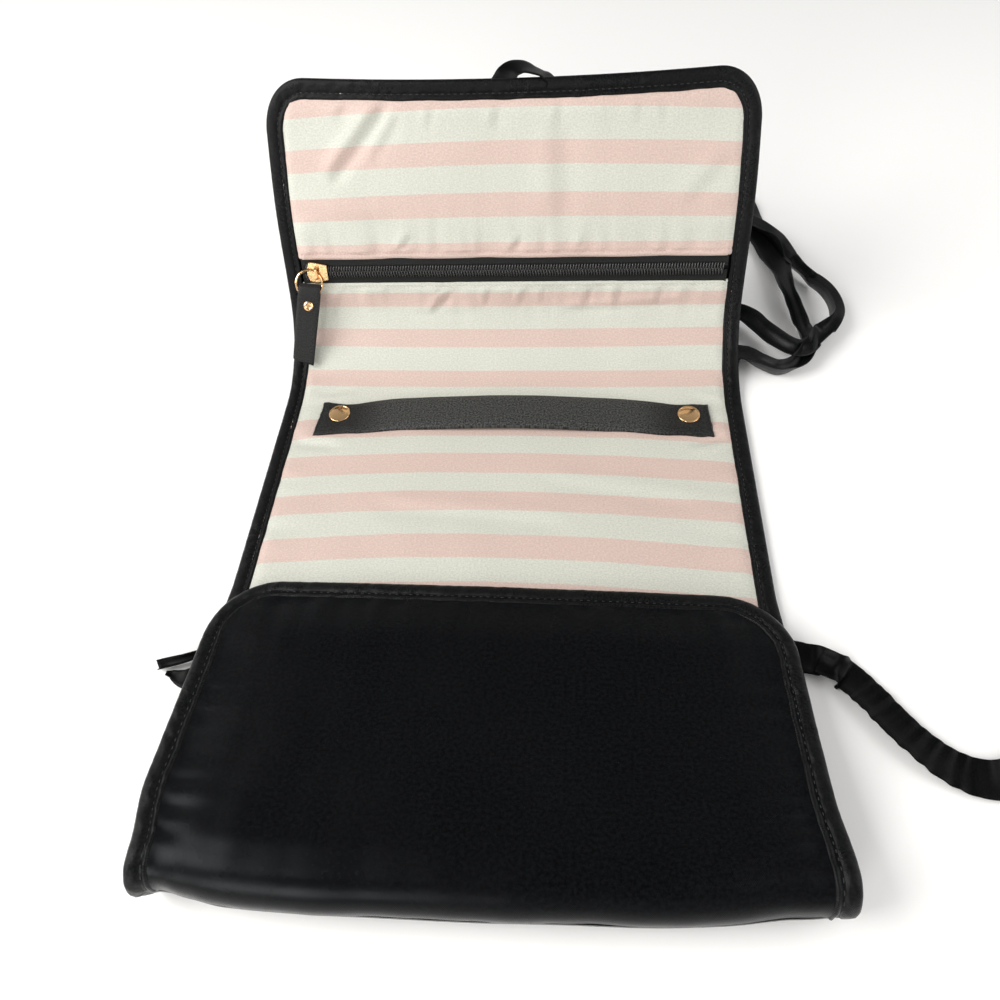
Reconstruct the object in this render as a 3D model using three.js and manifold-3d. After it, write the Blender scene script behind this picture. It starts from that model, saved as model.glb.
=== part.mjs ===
// Hanging travel organizer: a padded satin roll of four sections with a striped lining, bound edges,
// a zip pocket on the top section, a snap strap on the middle one and a flap folded over the lower one.
// Millimetres, +Z up, +Y away from the viewer, origin at the middle of the lower section's underside.

import * as THREE from 'three';
import { mergeVertices } from 'three/addons/utils/BufferGeometryUtils.js';
import Module from 'manifold-3d';

const wasm = await Module();
wasm.setup();

// Driving dimensions
const clothThickness = 0.6;
const wadding = 2;
const topWadding = 1.2;
const pocketCloth = 0.4;
const seat = 0.3;
const cutOverrun = 1;
const weldDistance = 1e-5;

const upperWidth = 245;
const lowerWidth = 249;
const creaseHalf = 4;
const middleEnd = 95;
const foldRadius = 56;
const foldAngle = THREE.MathUtils.degToRad(67.1);
const topLength = 99.4;
const topCorner = 19;
const lowerEnd = 139.5;
const frontRadius = 9;
const frontAngle = THREE.MathUtils.degToRad(90);
const spineHeight = 5;
const flapLength = 117.5;
const flapCorner = 29;
const bindingWidth = 9;
const bindingWall = 0.6;
const cornerSteps = 8;
const foldSteps = 14;
const frontSteps = 8;

const zipPlace = 13;
const zipOpening = 12.6;
const tapeThickness = 0.4;
const tapeGap = 2;
const tapeWidth = 10.5;
const toothPitch = 1.45;
const toothRoot = 0.6;
const toothReach = 0.5;
const toothSlant = 0.35;
const railInner = 2;
const railWidth = 0.9;
const coilHeight = 1.5;
const rowSpread = 1.5;
const spreadLength = 5;

const sliderFromTapeEnd = 8.9;
const sliderLength = 11;
const sliderPlate = 1;
const sliderFoot = 0.9;
const sliderWall = 0.7;
const sliderBevel = 0.25;
const postWidth = 1.4;
const postLength = 3.2;
const postTip = 0.4;
const bailSpan = 6.4;
const bailWidth = 1.3;
const bailThickness = 0.9;
const bailRoom = 0.35;

const ringRadius = 6.9;
const ringWire = 0.6;
const ringTurn = THREE.MathUtils.degToRad(41);
const pullTilt = THREE.MathUtils.degToRad(14);
const tabTurn = THREE.MathUtils.degToRad(-7.6);
const tabWidth = 11.4;
const tabLeather = 0.8;
const tabLength = 41;
const tabCorner = 1.5;
const tabTaper = 0.9;
const rivetPlace = 10;
const rivetHead = 5;
const rivetCrown = 0.9;
const rivetDimple = 2.2;
const rivetPost = 2.2;
const rivetTail = 3.6;
const rivetTailHeight = 0.5;

const strapPlace = 88.4;
const strapWidth = 22;
const strapEndRoom = 19.5;
const strapThickness = 2.2;
const strapRise = 3;
const anchorLength = 21;
const strapCorner = 2;
const strapSteps = 16;
const capDiameter = 12;
const capRim = 0.7;
const capCrown = 0.6;
const socketDiameter = 9.4;
const socketHeight = 1.4;
const socketBore = 4.4;
const studDiameter = 9;
const studBase = 0.5;
const studKnob = 3.6;
const studNeck = 2.8;

const loopPlace = 7.5;
const loopSpan = 30;
const loopRise = 21;
const loopRibbon = 11;
const loopSeam = 9;
const loopLean = THREE.MathUtils.degToRad(-24);
const ribbonThickness = 0.8;
const tieWidth = 15;
const sashWidth = 18;
const tailWidth = 9;
const ribbonCorner = 0.2;
const tieRest = 0.45;
const tieLift = 1.25;
const tieSlopeShare = 0.04;
const loopSteps = 24;
const tieSteps = 56;
const sashSteps = 16;
const tailSteps = 6;

// Heights of the layers above a section's outer face
const plainStack = 2 * clothThickness + wadding + 2 * seat;
const middleLayer = plainStack / 2;
const bindingHeight = 2 * bindingWall + 2 * clothThickness + 3 * seat;
const rimLow = bindingWall + seat;
const rimHigh = rimLow + clothThickness + seat;
const padLow = clothThickness + seat;
const pocketLow = padLow + topWadding + seat;
const footLow = pocketLow + pocketCloth + seat;
const tapeLow = footLow + sliderFoot + seat;
const coilLow = tapeLow + tapeThickness + seat;
const topLiningLow = coilLow;
const plateLow = coilLow + coilHeight + seat;
const wireHeight = plateLow + sliderPlate + seat + ringWire;
const bailLow = wireHeight + ringWire + bailRoom;

const satin = { color: 0x17181a, roughness: 0.42, metalness: 0 };
const ribbonSatin = { color: 0x1d1f20, roughness: 0.5, metalness: 0 };
const stripe = { color: 0xeed3c4, roughness: 0.6, metalness: 0 };
const fleece = { color: 0xdcd9d2, roughness: 0.95, metalness: 0 };
const tape = { color: 0x232625, roughness: 0.8, metalness: 0 };
const coil = { color: 0x2b2e2d, roughness: 0.45, metalness: 0 };
const leather = { color: 0x1b1b1c, roughness: 0.55, metalness: 0 };
const gold = { color: 0xd9b36a, roughness: 0.25, metalness: 1 };

// Solids: a closed geometry becomes a manifold for cuts and joins, and goes back
function toSolid(geometry) {
  const bare = geometry.clone();
  bare.deleteAttribute('normal');
  bare.deleteAttribute('uv');
  const merged = mergeVertices(bare, weldDistance);
  return new wasm.Manifold(new wasm.Mesh({
    numProp: 3,
    vertProperties: new Float32Array(merged.attributes.position.array),
    triVerts: new Uint32Array(merged.index.array),
  }));
}

function toGeometry(solid) {
  const mesh = solid.getMesh();
  const geometry = new THREE.BufferGeometry();
  geometry.setAttribute('position', new THREE.BufferAttribute(mesh.vertProperties, 3));
  geometry.setIndex(new THREE.BufferAttribute(mesh.triVerts, 1));
  geometry.computeVertexNormals();
  return geometry;
}

function add(parent, name, geometry, finish) {
  const mesh = new THREE.Mesh(geometry, new THREE.MeshStandardMaterial(finish));
  mesh.name = name;
  parent.add(mesh);
  return mesh;
}

// A slab of an outline between two heights
function slab(shape, low, high) {
  const options = { depth: high - low, bevelEnabled: false, curveSegments: cornerSteps };
  return toSolid(new THREE.ExtrudeGeometry(shape, options).translate(0, 0, low));
}

function rectangle(left, right, near, far) {
  return new THREE.Shape([
    new THREE.Vector2(left, near),
    new THREE.Vector2(right, near),
    new THREE.Vector2(right, far),
    new THREE.Vector2(left, far),
  ]);
}

function block(left, right, near, far, low, high) {
  return slab(rectangle(left, right, near, far), low, high);
}

// A profile drawn in Y and Z, carried along X between two places
const acrossX = new THREE.Matrix4().makeBasis(
  new THREE.Vector3(0, 1, 0),
  new THREE.Vector3(0, 0, 1),
  new THREE.Vector3(1, 0, 0),
);

function bar(profile, left, right, steps = foldSteps) {
  const options = { depth: right - left, bevelEnabled: false, curveSegments: steps };
  const geometry = new THREE.ExtrudeGeometry(profile, options);
  return toSolid(geometry.translate(0, 0, left).applyMatrix4(acrossX));
}

// Sections of the roll: flat, bound on both sides, with a rounded free end where there is a corner
const lower = { width: lowerWidth, start: creaseHalf + seat, end: lowerEnd - seat, corner: 0 };
const middle = { width: upperWidth, start: creaseHalf + seat, end: middleEnd - seat, corner: 0 };
const top = { width: upperWidth, start: seat, end: topLength, corner: topCorner };
const flap = { width: lowerWidth, start: seat, end: flapLength, corner: flapCorner };
const spine = { width: lowerWidth, start: seat, end: spineHeight - seat, corner: 0 };

function outline(section, inset, overrun = 0) {
  const half = section.width / 2 - inset;
  const near = section.start - overrun;
  if (!section.corner) return rectangle(-half, half, near, section.end + overrun);
  const far = section.end - inset;
  const radius = section.corner - inset;
  const shape = new THREE.Shape();
  shape.moveTo(-half, near);
  shape.lineTo(half, near);
  shape.absarc(half - radius, far - radius, radius, 0, Math.PI / 2, false);
  shape.absarc(radius - half, far - radius, radius, Math.PI / 2, Math.PI, false);
  return shape;
}

// A sheet whose middle stands off its rim, which is pinched into the binding
function pinchedSheet(section, face, rim, thickness) {
  const inside = bindingWidth + seat;
  const low = Math.min(face, rim);
  const high = Math.max(face, rim) + thickness;
  const body = slab(outline(section, inside), low, high);
  const edge = slab(outline(section, bindingWall + seat), rim, rim + thickness);
  const hollowLow = face < rim ? face + thickness : low - cutOverrun;
  const hollowHigh = face < rim ? high + cutOverrun : face;
  const hollow = slab(outline(section, inside + thickness, cutOverrun), hollowLow, hollowHigh);
  return body.add(edge).subtract(hollow);
}

function padding(section, thickness) {
  const inside = bindingWidth + clothThickness + 2 * seat;
  return slab(outline(section, inside), padLow, padLow + thickness);
}

// The folded tape that is sewn round the edges, open towards the section
function binding(section) {
  const body = slab(outline(section, 0), 0, bindingHeight);
  const middleCut = outline(section, bindingWidth, cutOverrun);
  const channel = outline(section, bindingWall, cutOverrun);
  return body
    .subtract(slab(middleCut, -cutOverrun, bindingHeight + cutOverrun))
    .subtract(slab(channel, bindingWall, bindingHeight - bindingWall));
}

function sideOf(solid, section, sign) {
  const reach = section.width;
  const left = sign > 0 ? 0 : -reach;
  const near = section.start - cutOverrun;
  const far = section.end + cutOverrun;
  return solid.intersect(block(left, left + reach, near, far, -cutOverrun, plainStack + cutOverrun));
}

function addSection(parent, name, section, pad) {
  add(parent, `${name}_cover`, toGeometry(pinchedSheet(section, 0, rimLow, clothThickness)), satin);
  add(parent, `${name}_padding`, toGeometry(padding(section, pad)), fleece);
}

function addLining(parent, name, section) {
  const face = plainStack - clothThickness;
  add(parent, `${name}_lining`, toGeometry(pinchedSheet(section, face, rimHigh, clothThickness)), stripe);
}

function addSideBindings(parent, name, section, leftSign) {
  const whole = binding(section);
  add(parent, `${name}_binding_left`, toGeometry(sideOf(whole, section, leftSign)), satin);
  add(parent, `${name}_binding_right`, toGeometry(sideOf(whole, section, -leftSign)), satin);
}

// Folds: bands that turn towards the lining, or stay flat where the angle is zero
function foldProfile(fold, low, high, overrun = 0) {
  const shape = new THREE.Shape();
  if (!fold.angle) {
    shape.moveTo(fold.start - overrun, low);
    shape.lineTo(fold.end + overrun, low);
    shape.lineTo(fold.end + overrun, high);
    shape.lineTo(fold.start - overrun, high);
    return shape;
  }
  const outer = fold.radius + middleLayer - low;
  const inner = fold.radius + middleLayer - high;
  const centre = fold.radius + middleLayer;
  const spare = overrun / fold.radius;
  const gapTurn = seat / fold.radius;
  const from = -Math.PI / 2 + gapTurn - spare;
  const to = -Math.PI / 2 + fold.angle - gapTurn + spare;
  shape.absarc(0, centre, outer, from, to, false);
  shape.absarc(0, centre, inner, to, from, true);
  return shape;
}

function foldBand(fold, low, high, inset, overrun = 0) {
  const half = fold.width / 2 - inset;
  return bar(foldProfile(fold, low, high, overrun), -half, half, fold.steps);
}

function foldCover(fold) {
  return foldBand(fold, 0, bindingHeight, 0)
    .subtract(foldBand(fold, bindingWall, bindingHeight - bindingWall, bindingWall, cutOverrun))
    .subtract(foldBand(fold, bindingWall, bindingHeight + cutOverrun, bindingWidth, cutOverrun));
}

function foldLining(fold) {
  return foldBand(fold, plainStack - clothThickness, plainStack, bindingWidth + seat);
}

function foldPadding(fold) {
  return foldBand(fold, padLow, padLow + wadding, bindingWidth + seat);
}

function addFold(parent, name, fold) {
  add(parent, `${name}_cover`, toGeometry(foldCover(fold)), satin);
  add(parent, `${name}_padding`, toGeometry(foldPadding(fold)), fleece);
  add(parent, `${name}_lining`, toGeometry(foldLining(fold)), stripe);
}

// The frame after a fold that starts at a place along its parent
function after(parent, start, radius, angle) {
  const next = new THREE.Group();
  const outer = radius + middleLayer;
  next.position.set(0, start + outer * Math.sin(angle), outer * (1 - Math.cos(angle)));
  next.rotation.x = angle;
  parent.add(next);
  return next;
}

function at(parent, y) {
  const next = new THREE.Group();
  next.position.y = y;
  parent.add(next);
  return next;
}

// Zip: two tapes with toothed coils that mesh, and spread apart at the slider's post
const tapeHalf = upperWidth / 2 - bindingWidth - clothThickness - 2 * seat;
const sliderPlace = sliderFromTapeEnd - tapeHalf;
const postPlace = sliderPlace - sliderLength / 2 + postLength / 2;

function spreadAt(x) {
  const turn = (x - postPlace) / spreadLength;
  const share = THREE.MathUtils.clamp(turn, 0, 1);
  return rowSpread * (1 - share * share * (3 - 2 * share));
}

function coilRow(sign) {
  const points = [];
  const count = Math.floor((2 * tapeHalf - toothPitch) / toothPitch);
  const first = -count * toothPitch / 2 + (sign > 0 ? 0 : toothPitch / 2);
  const reach = (x, y) => points.push(new THREE.Vector2(x, sign * (y + spreadAt(x))));
  for (let i = 0; i < count; i += 1) {
    const middleX = first + i * toothPitch;
    const tipX = middleX + toothSlant;
    reach(middleX - toothRoot / 2, railInner);
    reach(tipX, -toothReach);
    reach(middleX + toothRoot / 2, railInner);
  }
  const steps = [tapeHalf, postPlace + spreadLength, postPlace, -tapeHalf];
  reach(steps[0], railInner);
  steps.forEach((x) => reach(x, railInner + railWidth));
  reach(steps[3], railInner);
  if (sign < 0) points.reverse();
  return slab(new THREE.Shape(points), coilLow, coilLow + coilHeight);
}

function zipTape(sign) {
  const near = sign * tapeGap / 2;
  const far = near + sign * tapeWidth;
  const edges = [Math.min(near, far), Math.max(near, far)];
  return block(-tapeHalf, tapeHalf, edges[0], edges[1], tapeLow, tapeLow + tapeThickness);
}

// Slider: foot under the tapes, post between them, plate with side walls and a bail over the coils
const railOuter = railInner + railWidth;
const tailHalf = railOuter + seat + sliderWall;
const noseHalf = tailHalf + rowSpread;
const waistShare = 0.35;

function sliderOutline(inset) {
  const nose = -sliderLength / 2 + inset;
  const tail = sliderLength / 2 - inset;
  const waist = nose + waistShare * sliderLength;
  const wide = noseHalf - inset;
  const slim = tailHalf - inset;
  return new THREE.Shape([
    new THREE.Vector2(nose, -postWidth),
    new THREE.Vector2(nose + rowSpread, -wide),
    new THREE.Vector2(waist, -wide),
    new THREE.Vector2(tail, -slim),
    new THREE.Vector2(tail, slim),
    new THREE.Vector2(waist, wide),
    new THREE.Vector2(nose + rowSpread, wide),
    new THREE.Vector2(nose, postWidth),
  ]);
}

function bevelled(shape, low, high, bevel) {
  const options = {
    depth: high - low - 2 * bevel,
    bevelEnabled: true,
    bevelSize: bevel,
    bevelThickness: bevel,
    bevelOffset: -bevel,
    bevelSegments: 1,
  };
  return toSolid(new THREE.ExtrudeGeometry(shape, options).translate(0, 0, low + bevel));
}

function slider() {
  const plate = bevelled(sliderOutline(0), plateLow, plateLow + sliderPlate, sliderBevel);
  const foot = bevelled(sliderOutline(0), footLow, footLow + sliderFoot, sliderBevel);
  const wallLow = tapeLow + tapeThickness + seat;
  const walls = slab(sliderOutline(0), wallLow, plateLow + sliderBevel * 2)
    .subtract(slab(sliderThroat(), wallLow - cutOverrun, plateLow));
  const postStart = postPlace - sliderPlace - postLength / 2 + sliderBevel;
  const postEnd = postStart + postLength;
  const wedge = new THREE.Shape([
    new THREE.Vector2(postStart, -postWidth / 2),
    new THREE.Vector2((postStart + postEnd) / 2, -postWidth / 2),
    new THREE.Vector2(postEnd, -postTip / 2),
    new THREE.Vector2(postEnd, postTip / 2),
    new THREE.Vector2((postStart + postEnd) / 2, postWidth / 2),
    new THREE.Vector2(postStart, postWidth / 2),
  ]);
  const post = slab(wedge, footLow + sliderBevel, plateLow + sliderBevel);
  return plate.add(foot).add(walls).add(post).add(bail());
}

function sliderThroat() {
  const nose = -sliderLength / 2 - cutOverrun;
  const tail = sliderLength / 2 + cutOverrun;
  const waist = -sliderLength / 2 + waistShare * sliderLength;
  const wide = noseHalf - sliderWall;
  const slim = tailHalf - sliderWall;
  return new THREE.Shape([
    new THREE.Vector2(nose, -wide),
    new THREE.Vector2(waist, -wide),
    new THREE.Vector2(sliderLength / 2, -slim),
    new THREE.Vector2(tail, -slim),
    new THREE.Vector2(tail, slim),
    new THREE.Vector2(sliderLength / 2, slim),
    new THREE.Vector2(waist, wide),
    new THREE.Vector2(nose, wide),
  ]);
}

function bail() {
  const foot = plateLow + sliderPlate / 2;
  const high = bailLow + bailThickness;
  const half = bailSpan / 2;
  const shape = new THREE.Shape();
  shape.moveTo(-half, foot);
  shape.lineTo(half, foot);
  shape.lineTo(half, high - bailThickness);
  shape.lineTo(half - bailThickness, high);
  shape.lineTo(bailThickness - half, high);
  shape.lineTo(-half, high - bailThickness);
  const hole = new THREE.Path();
  const inner = half - bailThickness;
  hole.moveTo(-inner, foot + sliderPlate / 2);
  hole.lineTo(-inner, bailLow);
  hole.lineTo(inner, bailLow);
  hole.lineTo(inner, foot + sliderPlate / 2);
  shape.holes.push(hole);
  return bar(shape, -bailWidth / 2, bailWidth / 2);
}

// Pull: a split ring through the bail and a strip of leather folded round it and riveted
const wireSide = Math.sqrt((ringRadius - ringWire) ** 2 - (tabWidth / 2) ** 2);
const foldTop = -wireSide + seat + tabLeather;
const foldBottom = -ringRadius - ringWire - seat;
const loopHalf = ringWire + seat + tabLeather;
const legHalf = seat / 2 + tabLeather;

function pullTab() {
  const end = foldTop - tabLength;
  const waist = foldBottom - tabTaper;
  const cavity = loopHalf - tabLeather;
  const shape = new THREE.Shape();
  shape.moveTo(legHalf, end);
  shape.lineTo(legHalf, waist);
  shape.lineTo(loopHalf, foldBottom);
  shape.absarc(0, foldTop - loopHalf, loopHalf, 0, Math.PI, false);
  shape.lineTo(-loopHalf, foldBottom);
  shape.lineTo(-legHalf, waist);
  shape.lineTo(-legHalf, end);
  shape.lineTo(-seat / 2, end);
  shape.lineTo(-seat / 2, waist);
  shape.lineTo(-cavity, foldBottom);
  shape.absarc(0, foldTop - loopHalf, cavity, Math.PI, 0, true);
  shape.lineTo(cavity, foldBottom);
  shape.lineTo(seat / 2, waist);
  shape.lineTo(seat / 2, end);
  const turned = new THREE.Matrix4().makeBasis(
    new THREE.Vector3(0, 0, 1),
    new THREE.Vector3(0, 1, 0),
    new THREE.Vector3(-1, 0, 0),
  );
  const options = { depth: tabWidth, bevelEnabled: false, curveSegments: cornerSteps };
  const strip = new THREE.ExtrudeGeometry(shape, options).translate(0, 0, -tabWidth / 2);
  const rounded = new THREE.Shape();
  const half = tabWidth / 2;
  rounded.moveTo(half, foldTop + cutOverrun);
  rounded.lineTo(-half, foldTop + cutOverrun);
  rounded.absarc(tabCorner - half, end + tabCorner, tabCorner, Math.PI, 1.5 * Math.PI, false);
  rounded.absarc(half - tabCorner, end + tabCorner, tabCorner, 1.5 * Math.PI, 2 * Math.PI, false);
  const hole = new THREE.CylinderGeometry(
    rivetPost / 2 + seat,
    rivetPost / 2 + seat,
    2 * (legHalf + cutOverrun),
    2 * cornerSteps,
  );
  hole.rotateX(Math.PI / 2).translate(0, foldTop - rivetPlace, 0);
  return toSolid(strip.applyMatrix4(turned))
    .intersect(slab(rounded, -loopHalf - cutOverrun, loopHalf + cutOverrun))
    .subtract(toSolid(hole));
}

function revolve(pairs, steps) {
  const points = pairs.map(([radius, height]) => new THREE.Vector2(radius, height));
  return new THREE.LatheGeometry(points, steps).rotateX(Math.PI / 2);
}

function tabRivet() {
  const face = legHalf + seat;
  const crown = face + rivetCrown;
  return revolve([
    [0, -face - rivetTailHeight],
    [rivetTail / 2, -face - rivetTailHeight],
    [rivetTail / 2, -face],
    [rivetPost / 2, -face],
    [rivetPost / 2, face],
    [rivetHead / 2, face],
    [rivetHead / 2, face + rivetCrown / 2],
    [(rivetHead + rivetDimple) / 4, crown],
    [rivetDimple / 2, face + rivetCrown / 2],
    [0, face + rivetCrown / 2],
  ], 2 * cornerSteps);
}

// Snap strap: a padded satin bar arched between two snaps, with its left end fixed
const liningTop = plainStack;
const studLow = liningTop + seat;
const socketLow = studLow + studBase + seat;
const bandLow = socketLow + socketHeight + seat;
const capLow = bandLow + strapThickness + seat;
const knobHigh = bandLow - seat;
const strapHalf = upperWidth / 2 - strapEndRoom;
const snapHalf = strapHalf - strapWidth / 2;
const anchorEnd = anchorLength - strapHalf;

function archAt(x) {
  const span = (x - anchorEnd) / (strapHalf - anchorEnd);
  return strapRise * Math.sin(Math.PI * THREE.MathUtils.clamp(span, 0, 1)) ** 2;
}

function strapBand() {
  const left = anchorEnd + seat;
  const places = Array.from({ length: strapSteps + 1 }, (_, i) => left + i * (strapHalf - left) / strapSteps);
  const under = places.map((x) => new THREE.Vector2(x, bandLow + archAt(x)));
  const over = places.map((x) => new THREE.Vector2(x, bandLow + strapThickness + archAt(x))).reverse();
  const options = { depth: strapWidth, bevelEnabled: false };
  const geometry = new THREE.ExtrudeGeometry(new THREE.Shape([...under, ...over]), options);
  const alongY = new THREE.Matrix4().makeBasis(
    new THREE.Vector3(1, 0, 0),
    new THREE.Vector3(0, 0, 1),
    new THREE.Vector3(0, -1, 0),
  );
  return toSolid(geometry.applyMatrix4(alongY).translate(0, strapPlace + strapWidth / 2, 0))
    .intersect(slab(strapPlan(left, strapHalf, false), 0, capLow + strapRise));
}

function strapPlan(left, right, roundLeft) {
  const near = strapPlace - strapWidth / 2;
  const far = strapPlace + strapWidth / 2;
  const shape = new THREE.Shape();
  const turn = Math.PI / 2;
  if (roundLeft) {
    shape.moveTo(right, far);
    shape.absarc(left + strapCorner, far - strapCorner, strapCorner, turn, 2 * turn, false);
    shape.absarc(left + strapCorner, near + strapCorner, strapCorner, 2 * turn, 3 * turn, false);
    shape.lineTo(right, near);
    return shape;
  }
  shape.moveTo(left, near);
  shape.absarc(right - strapCorner, near + strapCorner, strapCorner, 3 * turn, 4 * turn, false);
  shape.absarc(right - strapCorner, far - strapCorner, strapCorner, 0, turn, false);
  shape.lineTo(left, far);
  return shape;
}

function strapAnchor() {
  const plan = strapPlan(-strapHalf, anchorEnd, true);
  return slab(plan, bandLow, bandLow + strapThickness);
}

function snapCap() {
  return revolve([
    [0, capLow],
    [capDiameter / 2, capLow],
    [capDiameter / 2, capLow + capRim / 2],
    [capDiameter / 2 - capRim, capLow + capRim],
    [capDiameter / 4, capLow + capRim + capCrown / 2],
    [0, capLow + capRim + capCrown / 2],
  ], 3 * cornerSteps);
}

function snapSocket() {
  return revolve([
    [socketBore / 2, socketLow],
    [socketDiameter / 2, socketLow],
    [socketDiameter / 2, socketLow + socketHeight],
    [socketBore / 2, socketLow + socketHeight],
    [socketBore / 2, socketLow],
  ], 2 * cornerSteps);
}

function snapStud() {
  const neckHigh = (socketLow + knobHigh) / 2;
  return revolve([
    [0, studLow],
    [studDiameter / 2, studLow],
    [studDiameter / 2, studLow + studBase],
    [studNeck / 2, studLow + studBase],
    [studNeck / 2, neckHigh],
    [studKnob / 2, (neckHigh + knobHigh) / 2],
    [studNeck / 2, knobHigh],
    [0, knobHigh],
  ], 2 * cornerSteps);
}

// Ribbons: a flat section with softened corners, carried along a line that says which way it faces
function ribbonAlong(width, steps, place) {
  const flat = ribbonThickness / 2;
  const half = width / 2;
  const section = new THREE.Shape([
    new THREE.Vector2(-flat, ribbonCorner - half),
    new THREE.Vector2(ribbonCorner - flat, -half),
    new THREE.Vector2(flat - ribbonCorner, -half),
    new THREE.Vector2(flat, ribbonCorner - half),
    new THREE.Vector2(flat, half - ribbonCorner),
    new THREE.Vector2(flat - ribbonCorner, half),
    new THREE.Vector2(ribbonCorner - flat, half),
    new THREE.Vector2(-flat, half - ribbonCorner),
  ]);
  const geometry = new THREE.ExtrudeGeometry(section, { depth: 1, steps, bevelEnabled: false });
  const spots = geometry.attributes.position;
  for (let i = 0; i < spots.count; i += 1) {
    const { centre, wide, along } = place(spots.getZ(i));
    const thick = new THREE.Vector3().crossVectors(wide, along).normalize();
    const spot = centre.clone().addScaledVector(thick, spots.getX(i)).addScaledVector(wide, spots.getY(i));
    spots.setXYZ(i, spot.x, spot.y, spot.z);
  }
  geometry.computeVertexNormals();
  return geometry;
}

// Hanging loop: sewn flat on the back by both feet, leaning back and turning over on its way round
function hangLoop() {
  const half = (loopSpan - loopRibbon) / 2;
  const rise = loopRise - loopRibbon / 2;
  const arch = Math.PI * (half + rise) / 2;
  const reach = 2 * loopSeam + arch;
  const lean = new THREE.Matrix4().makeRotationX(loopLean);
  return ribbonAlong(loopRibbon, loopSteps, (share) => {
    const run = share * reach;
    const round = THREE.MathUtils.clamp((run - loopSeam) / arch, 0, 1);
    const turn = Math.PI * (1 - round);
    const face = Math.PI * round ** 2 * (3 - 2 * round);
    const footLeft = Math.max(loopSeam - run, 0);
    const footRight = Math.max(run - loopSeam - arch, 0);
    const inside = Math.cos(face);
    const centre = new THREE.Vector3(Math.cos(turn) * half, Math.sin(turn) * rise, 0);
    const wide = new THREE.Vector3(Math.cos(turn) * inside, Math.sin(turn) * inside, Math.sin(face));
    const along = new THREE.Vector3(Math.sin(turn), -Math.cos(turn), 0);
    if (round > 0 && round < 1) [centre, wide, along].forEach((vector) => vector.applyMatrix4(lean));
    centre.y -= footLeft + footRight;
    return { centre, wide, along };
  });
}

// Ties: flat satin ribbons on the table, each along a smooth route chosen by hand. The long one is
// placed from the corner where the raised fold starts, the others from the side they are sewn to.
const tieRoute = [
  [-10, 12], [-6, 30], [0, 43], [9, 47], [17, 39], [25, 32], [35, 35], [41, 48],
  [42, 69], [40, 92], [38, 114], [36, 134], [31, 156], [25, 174], [18, 184],
  [13, 177], [14, 163], [21, 150], [31, 140], [42, 130],
  [51, 117], [57, 100], [60, 81], [58, 64], [50, 51],
  [40, 43], [30, 43], [21, 51], [13, 59.5], [4, 62],
  [-7, 58.5], [-17, 49.5], [-25, 37], [-31, 24], [-34, 12],
];
const tieRiseShares = [[0.49, 0.635], [0.73, 0.875]];
const sashRoute = [
  [0.6, 35], [6, 35], [13, 33], [19, 29], [24, 23], [28, 16], [32, 9], [37, 2],
  [43, -5], [50, -11], [58, -15], [67, -17], [76, -16], [84, -12], [90, -6],
];
const upperTailRoute = [[-0.6, 20.5], [-5, 20.3], [-10, 18.7], [-16, 16], [-21, 14]];
const lowerTailRoute = [[-0.6, 9.5], [-4, 9.4], [-7, 8.8], [-10, 8], [-13, 7]];

// A strand that lies over another one is lifted over it, with a slope before and after
function riseAt(riseShares, share) {
  return riseShares.reduce((sum, [fromShare, toShare]) => {
    const outside = Math.max(fromShare - share, share - toShare, 0);
    const off = Math.min(outside / tieSlopeShare, 1);
    return sum + tieLift * (1 - off ** 2 * (3 - 2 * off));
  }, 0);
}

function tie(route, width, steps, riseShares = []) {
  const path = new THREE.CatmullRomCurve3(route.map(([x, y]) => new THREE.Vector3(x, y, 0)));
  const upward = new THREE.Vector3(0, 0, 1);
  return ribbonAlong(width, steps, (share) => {
    const along = path.getTangentAt(share);
    const wide = new THREE.Vector3().crossVectors(along, upward);
    const centre = path.getPointAt(share);
    centre.z = tieRest + riseAt(riseShares, share);
    return { centre, wide, along };
  });
}

// Assembly: the crease at the start of both chains, then each section in the frame of its fold
const organizer = new THREE.Group();
const crease = at(organizer, (lower.start + lower.end) / 2);
const front = at(crease, 0);
front.rotation.z = Math.PI;

const creaseFold = { width: upperWidth, start: -creaseHalf, end: creaseHalf, angle: 0, steps: 1 };
addFold(crease, 'crease', creaseFold);

addSection(crease, 'middle', middle, wadding);
addLining(crease, 'middle', middle);
addSideBindings(crease, 'middle', middle, -1);

const backFold = { width: upperWidth, radius: foldRadius, angle: foldAngle, steps: foldSteps };
addFold(at(crease, middleEnd), 'back_fold', backFold);

// Top section, whose lining is slit for the zip and has the pocket's bag behind it
const topFrame = after(crease, middleEnd, foldRadius, foldAngle);
addSection(topFrame, 'top', top, topWadding);
add(topFrame, 'top_binding', toGeometry(binding(top)), satin);

const pocketInset = bindingWidth + clothThickness + 2 * seat;
add(topFrame, 'pocket_back', toGeometry(slab(outline(top, pocketInset), pocketLow, pocketLow + pocketCloth)), stripe);

const zipLow = zipPlace - zipOpening / 2;
const zipHigh = zipPlace + zipOpening / 2;
const topLining = pinchedSheet(top, topLiningLow, rimHigh, clothThickness);
const wholeWidth = upperWidth / 2 + cutOverrun;
const overTop = topLiningLow + clothThickness + cutOverrun;
const abovezip = block(-wholeWidth, wholeWidth, zipHigh, topLength, 0, overTop);
const belowZip = block(-wholeWidth, wholeWidth, -cutOverrun, zipLow, 0, overTop);
add(topFrame, 'top_lining', toGeometry(topLining.intersect(abovezip)), stripe);
add(topFrame, 'pocket_lip', toGeometry(topLining.intersect(belowZip)), stripe);

const zip = at(topFrame, zipPlace);
add(zip, 'zip_tape_upper', toGeometry(zipTape(1)), tape);
add(zip, 'zip_tape_lower', toGeometry(zipTape(-1)), tape);
add(zip, 'zip_coil_upper', toGeometry(coilRow(1)), coil);
add(zip, 'zip_coil_lower', toGeometry(coilRow(-1)), coil);

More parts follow.
